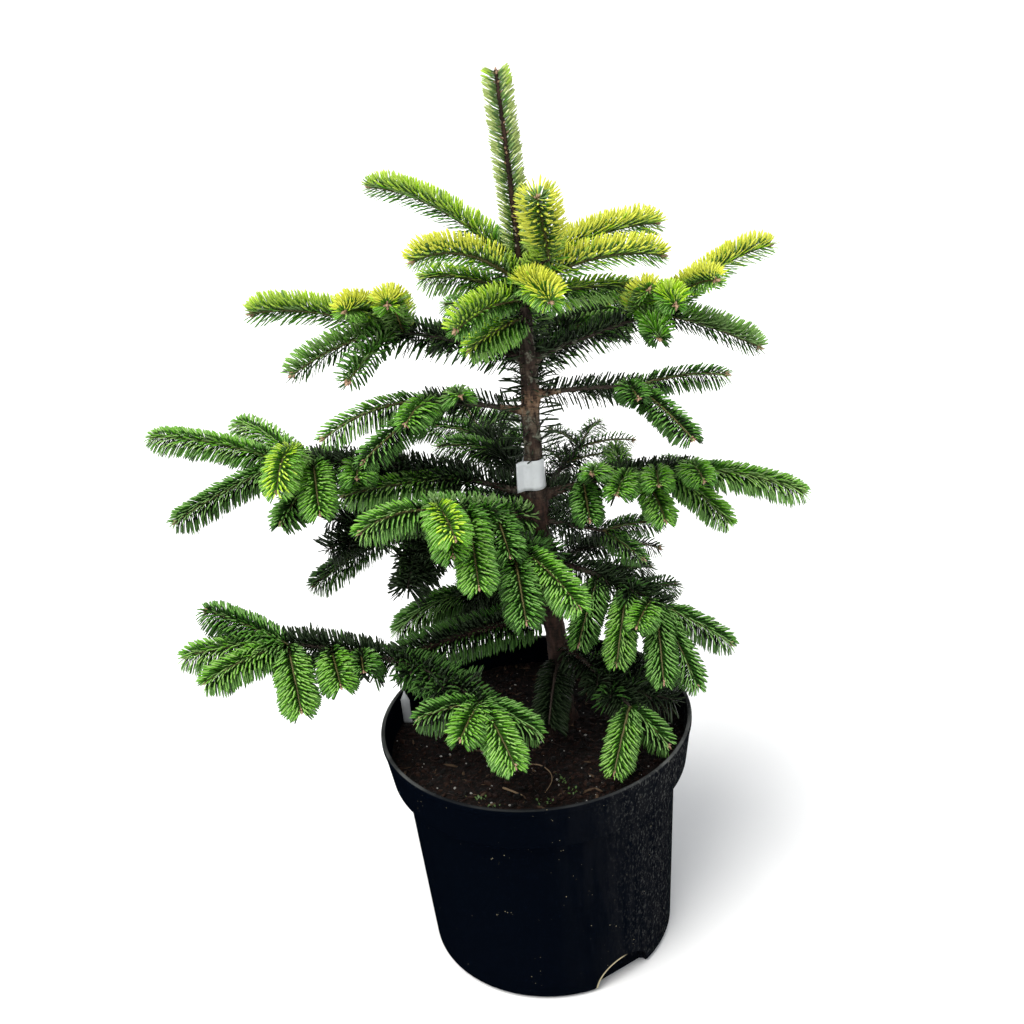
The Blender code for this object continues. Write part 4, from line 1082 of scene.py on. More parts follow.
class Needles:
    """Needles gathered along many stems, and turned into one mesh at the end."""

    def __init__(self, settings):
        self.settings = settings
        self.parts = []

    def clothe(self, stem, share_from=0.0):
        """Stand needles along a stem in a spiral, parted and swept as its habit says."""
        habit = HABITS[stem.habit]
        rng = seeded(stem.name + stem.habit)
        length = path_length(stem.path)
        fullness, grown = growth_of(stem.name)
        clothed = length * (1 - share_from) * self.settings.fullness
        count = max(FEWEST_NEEDLES, round(clothed * habit.per_metre * fullness))
        share = share_from + (1 - share_from) * (np.arange(count) + rng.uniform(0.3, 0.7, count)) / count
        at = share * (len(stem.path) - 1)
        along, side, upward = needle_frames(stem, at)
        turn = np.arange(count) * GOLDEN_ANGLE + rng.normal(0, 0.04, count)
        sign = np.where(np.cos(turn) > 0, 1.0, -1.0)
        level = np.arcsin(np.sin(turn)) / np.pi + 0.5
        low = level < habit.low_share
        within = np.where(low, level / habit.low_share, (level - habit.low_share) / (1 - habit.low_share))

        def spread(values):
            """One value for the lower needles, and for the upper ones a change from the side to the top."""
            return np.where(low, values[0], values[1] + (values[2] - values[1]) * within)

        first = np.where(low, habit.low[0], habit.high[0])
        last = np.where(low, habit.low[1], habit.high[1])
        uneven = 2 if stem.habit == "brush" else 4
        rise = np.radians(first + (last - first) * within + rng.normal(0, uneven, count))
        rise += math.radians(stem.lift) * 0.4 * (stem.habit == "comb")
        to_tip = np.clip(1 - (1 - share) * length / TIP_ZONE, 0, 1) * stem.young
        to_foot = np.clip(1 - (share - share_from) * length / FOOT_ZONE, 0, 1)
        forward = np.radians(spread(habit.sweeps) + to_tip * habit.tip[0] + rng.normal(0, 2, count))
        out = np.cos(rise)[:, None] * sign[:, None] * side + np.sin(rise)[:, None] * upward
        way = unit(np.sin(forward)[:, None] * along + np.cos(forward)[:, None] * out)
        face = 0.9 * upward + 0.35 * along + rng.normal(0, habit.twist, (count, 3))
        face = unit(face - (face * way).sum(1)[:, None] * way)
        size = spread(habit.sizes) * grown * rng.normal(1.0, 0.03, count)
        size *= (1 - (1 - habit.tip[1]) * to_tip) * (1 - (1 - FOOT_SIZE) * to_foot)
        bend = along * (habit.reach * rng.uniform(0.6, 1.2, count))[:, None]
        bend = bend - UP * (habit.droop * rng.uniform(0.7, 1.1, count))[:, None] + face * 0.04
        girth = stem.thick + (stem.thin - stem.thick) * share
        self.parts.append({
            "base": along_path(stem.path, at) + out * (girth * ROOTING)[:, None],
            "way": way,
            "face": face,
            "bend": bend,
            "length": self.settings.length * size,
            "level": self.levels(stem, share, rise, rng),
            "sunny": np.full(count, int(stem.habit in SUNNY_HABITS)),
        })

    @staticmethod
    def levels(stem, share, rise, rng):
        """A needle is a tint darker low on its shoot's sides and by its foot: painted shade from the needles
        round it.
        """
        level = np.full(len(share), float(stem.tint))
        if stem.habit == "leader":
            level += LEADER_GLOW * (share > LEADER_GLOW_FROM) - 1.0 * (rise < LEADER_SHADE)
            level = np.round(level + rng.normal(0, TINT_SPREAD, len(share)))
            return np.where(level >= GOLD, LIME, np.where(level < FRESH, FRESH, SAGE_ROW)).astype(int)
        if stem.habit == "brush":
            level -= (rise < BRUSH_SHADE[0]) * (stem.tint > LEAF)
            level -= (rise < BRUSH_SHADE[1]) * (stem.tint > DEEP)
        if stem.habit == "comb":
            level -= (rise < COMB_SHADE[0] + LIT_COMB_SHADE * (stem.tint > FRESH)) * (stem.tint > DEEP)
            level -= (rise < COMB_SHADE[1]) * (stem.tint > LEAF)
        level -= (share < FOOT_SHADE) * (stem.tint > LEAF)
        level += rng.normal(0, TINT_SPREAD, len(share))
        return np.clip(np.round(level), OLD, stem.tint).astype(int)

    @staticmethod
    def free(rows):
        """Which needles stay out of the trunk, the label, the compost and the pot's wall."""
        free = np.ones(len(rows["base"]), dtype=bool)
        for reach in (0.5, 0.8, 1.0):
            spot = rows["base"] + rows["way"] * (rows["length"] * reach)[:, None]
            spot = spot + rows["bend"] * (rows["length"] * reach**2)[:, None]
            x, y, z = spot.T
            off = np.hypot(x - np.interp(z, *zip(*TRUNK_LINE)), y - TRUNK_Y)
            labelled = (z > LABEL_LOW - LABEL_MARGIN) & (z < LABEL_HIGH + LABEL_MARGIN)
            free &= off > np.where(labelled, LABEL_RADIUS + HAIR, trunk_radius(z))
            free &= z > SOIL_LEVEL + SOIL_MARGIN
            by_rim = np.abs(np.hypot(x, y) - RIM_RADIUS + HAIR) < RIM_MARGIN
            free &= ~(by_rim & (z < POT_TOP + HAIR))
        return free

    @staticmethod
    def sections(rows, width):
        """The points of all needles: three for each section, and one at the tip."""
        across = np.cross(rows["way"], rows["face"])
        length = rows["length"][:, None]
        points = np.empty((len(length), 3 * len(NEEDLE_SECTIONS) - 2, 3))
        for k, (share, half, ridge) in enumerate(NEEDLE_SECTIONS):
            spine = rows["base"] + length * (share * rows["way"] + share**2 * rows["bend"])
            if not half:
                points[:, 3 * k] = spine
                continue
            points[:, 3 * k] = spine - half * width * across
            points[:, 3 * k + 1] = spine + ridge * width * rows["face"]
            points[:, 3 * k + 2] = spine + half * width * across
        return points, across[:, 2] > 0

    def build(self, name, finishes):
        rows = {key: np.concatenate([part[key] for part in self.parts]) for key in self.parts[0]}
        free = self.free(rows)
        rows = {key: value[free] for key, value in rows.items()}
        width = self.settings.width * np.sqrt(rows["length"][:, None] / self.settings.length)
        points, lit = self.sections(rows, width)
        first = np.arange(len(points))[:, None] * points.shape[1]
        quads, slots = [], []
        for k in range(len(NEEDLE_SECTIONS) - 2):
            raised = np.minimum(rows["level"] + rows["sunny"] * (k == 0), GOLD)
            raised = np.where(rows["level"] == SAGE_ROW, SAGE_ROW, raised)
            # edge is the painted highlight's tint, which the facet of each needle that faces up takes
            blade, under, edge = NEEDLE_TINTS[raised][:, :, k].T
            near, far = np.where(lit, blade, edge), np.where(lit, edge, blade)
            for a, b, slot in ((0, 1, near), (1, 2, far), (2, 0, under)):
                quads.append(first + np.array([[3 * k + a, 3 * k + b, 3 * k + 3 + b, 3 * k + 3 + a]]))
                slots.append(slot)
        pile = Pile()
        pile.add(points, np.concatenate(quads), np.concatenate(slots))
        end = points.shape[1] - 1
        caps = (
            ((2, 1, 0), NEEDLE_TINTS[rows["level"], 0, 0]),
            ((end - 3, end - 2, end), near),
            ((end - 2, end - 1, end), far),
            ((end - 1, end - 3, end), under),
        )
        for corners, slot in caps:
            pile.add(None, first + np.array([corners]), slot)
        return pile.build(name, finishes)


def needle_finishes(settings):
    made = []
    for name in TINT_NAMES:
        roughness = 0.62 if name.startswith("under") else 0.42
        colour = getattr(settings, name)
        made.append(plain_finish("needle_" + name, colour, roughness, Specular_IOR_Level=0.09))
    return made


# Twigs and buds

BUD_LENGTH = 0.0048
BUD_RADIUS = 0.0013
BUD_PROFILE = ((0.0, 0.55), (0.3, 1.0), (0.62, 0.80), (0.86, 0.42), (1.0, 0.08))
BUD_SIDES = 6
# How much larger buds are on the shoots that stand up
LIT_BUD = 1.25
LEADER_BUDS = 30
TWIG_SIDES = 8
TWIG_STEP = 0.0022
OLD_WOOD, YOUNG_WOOD, BUD_SCALE = range(3)


def add_bud(pile, foot, way, size):
    shares = np.array([share for share, _ in BUD_PROFILE])
    radii = np.array([radius for _, radius in BUD_PROFILE]) * BUD_RADIUS * size
    path = foot + shares[:, None] * BUD_LENGTH * size * way
    tube(pile, path, radii, BUD_SIDES, BUD_SCALE)


def add_buds(pile, stem, rng):
    """A middle bud and two to four round it at a shoot's tip, larger on the shoots that stand up."""
    grown = LIT_BUD if stem.habit == "brush" else 1.0
    along, side, upward = [v[-1] for v in frames(stem.path)]
    tip = stem.path[-1]
    add_bud(pile, tip - along * 0.0005, along, grown)
    count = int(rng.integers(2, 5))
    for k in range(count):
        angle = 2 * math.pi * (k + rng.uniform(-0.2, 0.2)) / count
        out = math.cos(angle) * side + math.sin(angle) * upward
        way = unit(along + out * rng.uniform(0.7, 1.1))
        add_bud(pile, tip - along * 0.0015 + out * 0.0006, way, grown * rng.uniform(0.65, 0.9))


def add_side_buds(pile, stem, count):
    """Small pale buds scattered along an upright stem."""
    rng = seeded(stem.name + "buds")
    along, side, upward = frames(stem.path)
    for _ in range(count):
        k = int(rng.uniform(0.1, 0.97) * len(stem.path))
        angle = rng.uniform(0, 2 * math.pi)
        out = math.cos(angle) * side[k] + math.sin(angle) * upward[k]
        girth = stem.thick + (stem.thin - stem.thick) * k / len(stem.path)
        add_bud(pile, stem.path[k] + out * girth * 0.8, unit(along[k] * 0.8 + out), rng.uniform(0.5, 0.8))


def add_twig(pile, stem):
    """A tapering stem with the low cushions that the needles stand on."""
    rng = seeded(stem.name + "wood")
    count = max(4, round(path_length(stem.path) / TWIG_STEP))
    path = resample(stem.path, count)
    radii = np.linspace(stem.thick, stem.thin, count)
    bumps = rng.normal(0, 0.09, (count, TWIG_SIDES))
    tube(pile, path, radii, TWIG_SIDES, YOUNG_WOOD if stem.young else OLD_WOOD, bumps)
    if stem.young:
        add_buds(pile, stem, rng)


def twigs_of(group, stems):
    """The twigs and buds of a whorl; the leader's buds come with the top one."""
    pile = Pile()
    for stem in stems:
        if stem.group == group:
            add_twig(pile, stem)
    if group == "top":
        leader = leader_stem()
        add_buds(pile, leader, seeded("leader"))
        add_side_buds(pile, leader, LEADER_BUDS)
    return pile


# Bark

BARK_SIDES = 48
BARK_STEP = 0.0018
LIMB_BARK_SIDES = 18
# A limb's swelling at the trunk, how far out it goes, and the depth of its cracks against the trunk's
LIMB_SWELL = 0.55
LIMB_SWELL_REACH = 0.006
LIMB_RELIEF = 0.55
# A limb's bark noise: how fine it is round the limb and along it, and its shift with the limb's thickness
LIMB_NOISE = (0.9, 160, 9000)
# The foot's flare and its lobes
FLARE_HEIGHT = 0.030
FLARE_LOBE = 0.0030
FLARE_LOBES = 5
# Bark noise: how fine its cracks and blisters are, how much coarser along the trunk, the noise that makes a
# blister, and the height of a blister against a crack
CRACKS = 330
CRACK_STRETCH = 0.35
BLISTERS = 260
BLISTER_STRETCH = 0.8
BLISTER_FROM = 0.35
BLISTER_HEIGHT = 1.6
# Bark is shallower where the trunk is thinner than this, and its tip is cut to this share of its radius
DEEP_BARK_RADIUS = 0.008
CUT_TIP = 0.35
# Settings of the bark's fractal noise: how fast its octaves fade, the step between them, and their number
BARK_NOISE = (0.8, 2.1, 4)
# A collar's swelling, half height, half width and how far below its bough it stands, in radii of the bough
COLLAR_SWELL = 0.55
COLLAR_HEIGHT = 2.3
COLLAR_WIDTH = 1.8
COLLAR_DROP = 0.2
# Where a collar's swelling has faded, in its half heights
COLLAR_END = 2.2


def collars():
    """(height, heading, size) of each place where a bough leaves the trunk."""
    found = []
    for bough in all_boughs().values():
        size = limb_radius(bough.height) if bough.bare else TOP_STEM_RADIUS
        found.append((bough.height, math.radians(bough.heading), size))
    return found


def collar_swell(joints, height, angle, radius):
    """How far the bark stands out over the boughs that leave near this spot."""
    swell = 0.0
    for joint_height, heading, size in joints:
        rise = (height - joint_height + COLLAR_DROP * size) / (COLLAR_HEIGHT * size)
        if abs(rise) < COLLAR_END:
            turn = (angle - heading + math.pi) % (2 * math.pi) - math.pi
            fade = math.exp(-rise * rise - (turn * radius / (COLLAR_WIDTH * size)) ** 2)
            swell = max(swell, COLLAR_SWELL * size * fade)
    return swell


def bark_trunk(settings):
    """The whole trunk with cracked bark, swollen collars and a flared foot."""
    heights = np.arange(TRUNK_FOOT, TRUNK_TIP - 0.001, BARK_STEP)
    heights = np.append(heights, [TRUNK_TIP - 0.0004, TRUNK_TIP])
    angles = ring_angles(BARK_SIDES)
    joints = collars()
    points = np.empty((len(heights), BARK_SIDES, 3))
    for i, height in enumerate(heights):
        centre = trunk_centre(height)
        radius = float(trunk_radius(height))
        thick = min(1.0, radius / DEEP_BARK_RADIUS)
        flare = max(0.0, 1 - (height - TRUNK_FOOT) / FLARE_HEIGHT) ** 2
        taper = CUT_TIP if height == TRUNK_TIP else 1.0
        for k, angle in enumerate(angles):
            spot = Vector((math.cos(angle) * radius, math.sin(angle) * radius, height * CRACK_STRETCH))
            plates = noise.fractal(spot * CRACKS, *BARK_NOISE)
            spot.z = height * BLISTER_STRETCH
            blisters = max(0.0, noise.noise(spot * BLISTERS) - BLISTER_FROM)
            relief = settings.relief * thick * (plates + BLISTER_HEIGHT * blisters)
            lobes = flare * FLARE_LOBE * (0.5 + 0.5 * math.sin(FLARE_LOBES * angle + 0.8))
            out = (radius + relief + lobes + collar_swell(joints, height, angle, radius)) * taper
            points[i, k] = centre + np.array([math.cos(angle) * out, math.sin(angle) * out, 0.0])
    return skinned(points)


def bark_limb(pile, stem, settings):
    """A bare limb that swells where it joins the trunk."""
    count = max(8, round(path_length(stem.path) / BARK_STEP))
    path = resample(stem.path, count)
    radii = np.linspace(stem.thick, stem.thin, count)
    run = np.linspace(0, path_length(stem.path), count)
    beyond = np.maximum(run - trunk_radius(path[0][2]), 0)
    radii = radii * (1 + LIMB_SWELL * np.exp(-beyond / LIMB_SWELL_REACH))
    bumps = np.empty((count, LIMB_BARK_SIDES))
    for i in range(count):
        for k in range(LIMB_BARK_SIDES):
            angle = 2 * math.pi * k / LIMB_BARK_SIDES
            along = run[i] * LIMB_NOISE[1] + stem.thick * LIMB_NOISE[2]
            spot = Vector((math.cos(angle) * LIMB_NOISE[0], math.sin(angle) * LIMB_NOISE[0], along))
            bumps[i, k] = LIMB_RELIEF * settings.relief / stem.thick * noise.fractal(spot, *BARK_NOISE)
    tube(pile, path, radii, LIMB_BARK_SIDES, 0, bumps)


# Pot

ARCH_SIDES = 48
POT_ROUNDING = 0.0016
POT_BEVEL = 0.0007
# Edges of the pot that turn by more than these angles, in degrees, are bevelled and stay sharp
BEVEL_ANGLE = 38
SHARP_ANGLE = 40


def pot_outline():
    """(radius, height) round the pot's wall, from the middle of its underside back to its inner floor."""
    body_slope = (BODY_TOP_RADIUS - BASE_RADIUS) / COLLAR_FOOT
    foot = 0.036
    outside = [
        (BASE_RADIUS - 0.030, 0.0),
        (BASE_RADIUS - 0.004, 0.0),
        (BASE_RADIUS + 0.004 * body_slope, 0.005),
        (BASE_RADIUS + foot * body_slope, foot),
        (BODY_TOP_RADIUS, COLLAR_FOOT - 0.0015),
        (COLLAR_FOOT_RADIUS, COLLAR_FOOT + 0.0015),
        (RIM_RADIUS - 0.0010, POT_TOP - 0.0075),
        (RIM_RADIUS, POT_TOP - 0.0062),
        (RIM_RADIUS, POT_TOP - 0.0012),
        (RIM_RADIUS - 0.0012, POT_TOP),
        (RIM_RADIUS - RIM_LIP, POT_TOP - 0.0004),
        (RIM_RADIUS - RIM_LIP - 0.0004, POT_TOP - 0.0040),
    ]
    inside = [
        (COLLAR_FOOT_RADIUS - POT_WALL, COLLAR_FOOT + 0.0025),
        (BODY_TOP_RADIUS - POT_WALL, COLLAR_FOOT - 0.0010),
        (BASE_RADIUS + foot * body_slope - POT_WALL, foot),
        (BASE_RADIUS - 0.019, foot - 0.004),
        (BASE_RADIUS - 0.019, 0.004),
        (0.030, 0.004),
    ]
    return rounded(outside + inside, POT_ROUNDING)


def arch_cutter(heading):
    """A lying cylinder with a slightly domed end, which hollows one drainage arch."""
    inner = BASE_RADIUS - ARCH_DEPTH
    rings = ((inner, 0.90), (inner + 0.003, 1.0), (BASE_RADIUS + 0.02, 1.0))
    outward, across = direction(heading, 0), direction(heading + 90, 0)
    angles = ring_angles(ARCH_SIDES)
    circle = np.cos(angles)[:, None] * across + np.sin(angles)[:, None] * UP
    points = [depth * outward + ARCH_RADIUS * share * circle for depth, share in rings]
    return skinned(points).build("arch_cutter", ())


def facing_out(piece):
    shape = bmesh.new()
    shape.from_mesh(piece.data)
    bmesh.ops.recalc_face_normals(shape, faces=shape.faces)
    shape.to_mesh(piece.data)
    shape.free()
    return piece


def applied(piece):
    """The mesh that the piece's modifiers give becomes its own."""
    graph = bpy.context.evaluated_depsgraph_get()
    made = bpy.data.meshes.new_from_object(piece.evaluated_get(graph))
    piece.modifiers.clear()
    piece.data = made
    return piece


def moulded_pot(settings, finish):
    shell = skinned(turned(pot_outline(), settings.sides))
    pot = facing_out(shell.build("nursery_pot", [finish]))
    for heading in ARCH_HEADINGS:
        cutter = facing_out(arch_cutter(heading))
        step = pot.modifiers.new("Arch", "BOOLEAN")
        step.operation = "DIFFERENCE"
        step.object = cutter
        step.solver = "EXACT"
        applied(pot)
        bpy.data.objects.remove(cutter, do_unlink=True)
    edge = pot.modifiers.new("Soft Edges", "BEVEL")
    edge.width = POT_BEVEL
    edge.segments = 2
    edge.limit_method = "ANGLE"
    edge.angle_limit = math.radians(BEVEL_ANGLE)
    applied(pot)
    pot.data.shade_smooth()
    pot.data.set_sharp_from_angle(angle=math.radians(SHARP_ANGLE))
    return pot


# Compost

BED_RINGS = 84
BED_SIDES = 240
BED_SKIRT = 0.012
# Heights of the compost's heaps, of its lumps and of its rise at the trunk, and the width of that rise
BED_HEAPS = 0.0030
BED_LUMPS = 0.0014
BED_RISE = 0.0035
BED_RISE_WIDTH = 0.03
# Crumbs and root fibres lie within these shares of the compost's radius
CRUMB_REACH = 0.985
FIBRE_REACH = 0.97
LUMP_DETAIL = 1
CRUMB_TINTS = ("black", "red", "brown", "tan", "pale")
CRUMB_SHARES = (0.32, 0.36, 0.21, 0.06, 0.05)
SMALLEST_CRUMB = 0.0009
CRUMB_SPREAD = 0.0021
GRIT_SIZE = 0.55
# How far crumbs, chips and grit are squeezed along their three axes
CRUMB_SQUEEZE = ((0.8, 2.0), (0.6, 1.1), (0.3, 0.8))
CHIP_SQUEEZE = ((1.6, 3.2), (0.5, 0.8), (0.2, 0.4))
GRIT_SQUEEZE = (1.1, 0.9, 0.8)
# A random turn, nearly all the way round, in radians
ANY_TURN = 6.28


def bed_height(x, y):
    """The compost's surface: heaps, hollows and crumbs, gently raised at the trunk's foot."""
    broad = noise.noise(Vector((x * 24 + 3.1, y * 24, 0.4)))
    rough = noise.fractal(Vector((x * 150, y * 150, 1.7)), 0.7, 2.1, 4)
    foot = trunk_centre(SOIL_LEVEL)
    rise = math.exp(-((math.hypot(x - foot[0], y - foot[1]) / BED_RISE_WIDTH) ** 2))
    return SOIL_LEVEL + BED_HEAPS * broad + BED_LUMPS * rough + BED_RISE * rise


def compost_bed():
    """A disc of compost with a skirt down the pot's wall."""
    radii = SOIL_RADIUS * np.sqrt(np.linspace(0.0002, 1.0, BED_RINGS))
    angles = ring_angles(BED_SIDES)
    points = np.empty((BED_RINGS + 1, BED_SIDES, 3))
    for i, radius in enumerate(radii):
        for k, angle in enumerate(angles):
            x, y = radius * math.cos(angle), radius * math.sin(angle)
            points[i, k] = x, y, bed_height(x, y)
    points[-1] = points[-2]
    points[-1, :, 2] = SOIL_LEVEL - BED_SKIRT
    return skinned(points)


def lump_shape():
    """Points and faces of a small round lump that crumbs are squeezed from."""
    shape = bmesh.new()
    bmesh.ops.create_icosphere(shape, subdivisions=LUMP_DETAIL, radius=1.0)
    points = np.array([vertex.co[:] for vertex in shape.verts])
    faces = np.array([[vertex.index for vertex in face.verts] for face in shape.faces])
    shape.free()
    return points, faces


def crumb_spot(rng):
    radius = SOIL_RADIUS * CRUMB_REACH * math.sqrt(rng.uniform())
    angle = rng.uniform(0, 2 * math.pi)
    return radius * math.cos(angle), radius * math.sin(angle)


def scattered_crumbs(settings):
    """Crumbs and chips of bark that lie on the compost, each squeezed and turned its own way."""
    rng = seeded("crumbs")
    lump, faces = lump_shape()
    pile = Pile()
    for _ in range(settings.crumbs):
        x, y = crumb_spot(rng)
        tint = int(rng.choice(len(CRUMB_TINTS), p=CRUMB_SHARES))
        size = SMALLEST_CRUMB + CRUMB_SPREAD * rng.uniform() ** 2.2
        squeeze = [rng.uniform(*span) for span in CRUMB_SQUEEZE]
        if CRUMB_TINTS[tint] == "tan":
            squeeze = [rng.uniform(*span) for span in CHIP_SQUEEZE]
        if CRUMB_TINTS[tint] == "pale":
            size *= GRIT_SIZE
            squeeze = GRIT_SQUEEZE
        uneven = 1 + rng.normal(0, 0.17, (len(lump), 1))
        turn = Matrix.Rotation(rng.uniform(0, ANY_TURN), 3, "Z")
        turn = turn @ Matrix.Rotation(rng.normal(0, 0.35), 3, "X")
        points = (lump * uneven * np.array(squeeze) * size) @ np.array(turn).T
        points += (x, y, bed_height(x, y) + 0.25 * size)
        pile.add(points, faces, tint)
        pile.close()
    return pile


def leaflet(pile, foot, way, size):
    """A tiny oval leaf with a fold along its middle."""
    tip, mid = foot + way * size, foot + way * size * 0.55
    wide = unit(np.cross(way, UP) + 1e-6) * size * 0.32
    fold = UP * size * 0.12
    points = np.array([foot, mid - wide + fold, tip, mid + wide + fold, mid])
    pile.add(points, [(0, 4, 1), (1, 4, 2), (0, 3, 4), (3, 2, 4)])
    pile.close()


# Where seedlings show: (x, y, spread, leaves)
SEEDLING_SPOTS = (
    (0.021, -0.068, 0.008, 14),
    (0.006, -0.098, 0.008, 16),
    (0.036, -0.089, 0.008, 8),
    (-0.053, -0.090, 0.009, 12),
    (-0.040, -0.106, 0.006, 6),
    (0.068, -0.059, 0.006, 5),
    (-0.060, 0.080, 0.012, 8),
)


def seedlings():
    rng = seeded("seedlings")
    pile = Pile()
    for x, y, spread, count in SEEDLING_SPOTS:
        for _ in range(count):
            foot_x, foot_y = x + rng.normal(0, spread / 2), y + rng.normal(0, spread / 2)
            foot = np.array([foot_x, foot_y, bed_height(foot_x, foot_y) + 0.0008])
            way = direction(rng.uniform(0, 360), rng.uniform(15, 65))
            leaflet(pile, foot, way, rng.uniform(0.0018, 0.0038))
    return pile


# Dry stalks on the compost: (x, y) of their points, and their radius
STALKS = (
    (((-0.032, -0.074), (-0.024, -0.081), (-0.014, -0.088)), 0.0011),
    (((-0.009, -0.041), (0.004, -0.044), (0.013, -0.056), (0.014, -0.070), (0.007, -0.085)), 0.0006),
)
STALK_SIDES = 8
FIBRES = 90
FIBRE_POINTS = 5
FIBRE_RINGS = 22
FIBRE_SIDES = 5


def fibre_path(points, lift=0.0012):
    points = np.array([(x, y, bed_height(x, y) + lift) for x, y in points])
    return along_path(points, np.linspace(0, len(points) - 1, FIBRE_RINGS))


def smoothed(path, rounds=4):
    for _ in range(rounds):
        path[1:-1] = 0.25 * path[:-2] + 0.5 * path[1:-1] + 0.25 * path[2:]
    return path


def stalks_and_fibres():
    rng = seeded("fibres")
    pile = Pile()
    for points, radius in STALKS:
        path = smoothed(fibre_path(points))
        bumps = rng.normal(0, 0.05, (len(path), STALK_SIDES))
        tube(pile, path, np.linspace(radius, radius * 0.6, len(path)), STALK_SIDES, 0, bumps)
    for _ in range(FIBRES):
        x, y = crumb_spot(rng)
        turn, bend = rng.uniform(0, ANY_TURN), rng.uniform(-1.2, 1.2)
        length = rng.uniform(0.006, 0.020)
        points = []
        for t in np.linspace(0, 1, FIBRE_POINTS):
            angle = turn + bend * t
            px, py = x + length * t * math.cos(angle), y + length * t * math.sin(angle)
            if math.hypot(px, py) < SOIL_RADIUS * FIBRE_REACH:
                points.append((px, py))
        if len(points) == FIBRE_POINTS:
            path = smoothed(fibre_path(points, 0.0009))
            tube(pile, path, np.linspace(0.00035, 0.0002, len(path)), FIBRE_SIDES, 1)
    return pile


# Label and tag

LABEL_THICKNESS = 0.0004
LABEL_ROWS = 9
BAND_POINTS = 64
FLAG_POINTS = 12
# Where the flag meets the band, in radii of the band
FLAG_FOOT = 1.35
LABEL_WHITE = (0.66, 0.68, 0.70)
FLAG_HALF_GAP = 0.00045
FLAG_CURL = 0.0018
TAG_GREY = (0.42, 0.44, 0.45)
TAG_HEADING = 350
TAG_ROWS = 16
TAG_HALF_THICKNESS = 0.00045
# The share of the tag's height that its point takes, and the share of its width that the tip keeps
TAG_POINT = 0.26
TAG_TIP = 0.06
TAG_BEND = 0.0006
# Corners of the tag's section, in shares of its half width and half thickness
TAG_SECTION = ((-1, -0.4), (-0.94, -1), (0.94, -1), (1, -0.4), (1, 0.4), (0.94, 1), (-0.94, 1), (-1, 0.4))


def wrap_label():
    """A band round the trunk whose joined ends stand out as a slightly curled flag."""
    outward, across = direction(LABEL_HEADING, 0), direction(LABEL_HEADING + 90, 0)
    headings = LABEL_HEADING + np.linspace(LABEL_PINCH, 360 - LABEL_PINCH, BAND_POINTS)
    flag = np.linspace(LABEL_RADIUS + LABEL_FLAG, LABEL_RADIUS * FLAG_FOOT, FLAG_POINTS)
    rings = []
    for height in np.linspace(LABEL_LOW, LABEL_HIGH, LABEL_ROWS):
        centre = trunk_centre(height)
        level = (height - LABEL_LOW) / (LABEL_HIGH - LABEL_LOW) - 0.5
        out_side, in_side = [], []
        for out in flag:
            curl = FLAG_CURL * ((out - LABEL_RADIUS) / LABEL_FLAG) ** 2 * (0.4 + level)
            middle = centre + out * outward + curl * across
            out_side.append(middle + FLAG_HALF_GAP * across)
            in_side.append(middle - FLAG_HALF_GAP * across)
        band = [centre + LABEL_RADIUS * direction(heading, 0) for heading in headings]
        route = np.array(out_side + band + in_side[::-1])
        offset = LABEL_THICKNESS / 2 * np.cross(tangents(route), UP)
        rings.append(np.concatenate([route + offset, (route - offset)[::-1]]))
    pile = Pile()
    size = len(rings[0])
    quads, _ = ring_faces(LABEL_ROWS, size)
    pile.add(np.concatenate(rings), quads)
    half = size // 2
    edge = np.array([(k, size - 1 - k, size - 2 - k, k + 1) for k in range(half - 1)])
    pile.add(None, edge)
    pile.add(None, edge[:, ::-1] + (LABEL_ROWS - 1) * size)
    return pile


def pointed_tag():
    """The pointed tag in the compost: a thin strip with rounded edges and a shallow bend."""
    low, high = np.array(TAG_LOW), np.array(TAG_HIGH)
    centre = (low + high) / 2
    half = (high[0] - low[0]) / 2
    across, outward = direction(TAG_HEADING, 0), direction(TAG_HEADING - 90, 0)
    rings = []
    for share in np.linspace(0, 1, TAG_ROWS):
        height = low[2] + share * (high[2] - low[2])
        wide = half * min(1.0, max(TAG_TIP, (1 - share) / TAG_POINT))
        middle = np.array([centre[0], centre[1], height]) + TAG_BEND * math.sin(share * 3.0) * outward
        rings.append([middle + wide * a * across + TAG_HALF_THICKNESS * b * outward for a, b in TAG_SECTION])
    return skinned(rings)


# Stage

CAMERA_PLACE = (0.0581, -1.0592, 0.9504)
SENSOR_WIDTH = 36.0
CAMERA_YAW = -3.36
CAMERA_PITCH = 24.68
CAMERA_ROLL = -5.39
FLOOR_RADIUS = 14.0
FLOOR_SIDES = 96
SWEEP_RADIUS = 4.0
SWEEP_STEPS = 12
WALL_HEIGHT = 7.0
# Lights: where each one shines towards, how wide its source is in degrees, and its colour
KEY_LIGHT = ((0.34, 0.34, -1.0), 44, (1.0, 0.99, 0.96))
FILL_LIGHT = ((-0.1, 1.0, -0.45), 60, (0.97, 0.98, 1.0))
SKY_COLOUR = (0.93, 0.96, 1.0, 1.0)


def camera_matrix():
    """Looks along its yaw and down by its pitch, then rolls about that line."""
    yaw, pitch, roll = (math.radians(angle) for angle in (CAMERA_YAW, CAMERA_PITCH, CAMERA_ROLL))
    ahead = np.array([math.sin(yaw) * math.cos(pitch), math.cos(yaw) * math.cos(pitch), -math.sin(pitch)])
    level = np.array([math.cos(yaw), -math.sin(yaw), 0.0])
    upright = np.cross(level, ahead)
    right = math.cos(roll) * level + math.sin(roll) * upright
    up = math.cos(roll) * upright - math.sin(roll) * level
    rows = [(right[k], up[k], -ahead[k], CAMERA_PLACE[k]) for k in range(3)]
    return Matrix((*rows, (0, 0, 0, 1)))


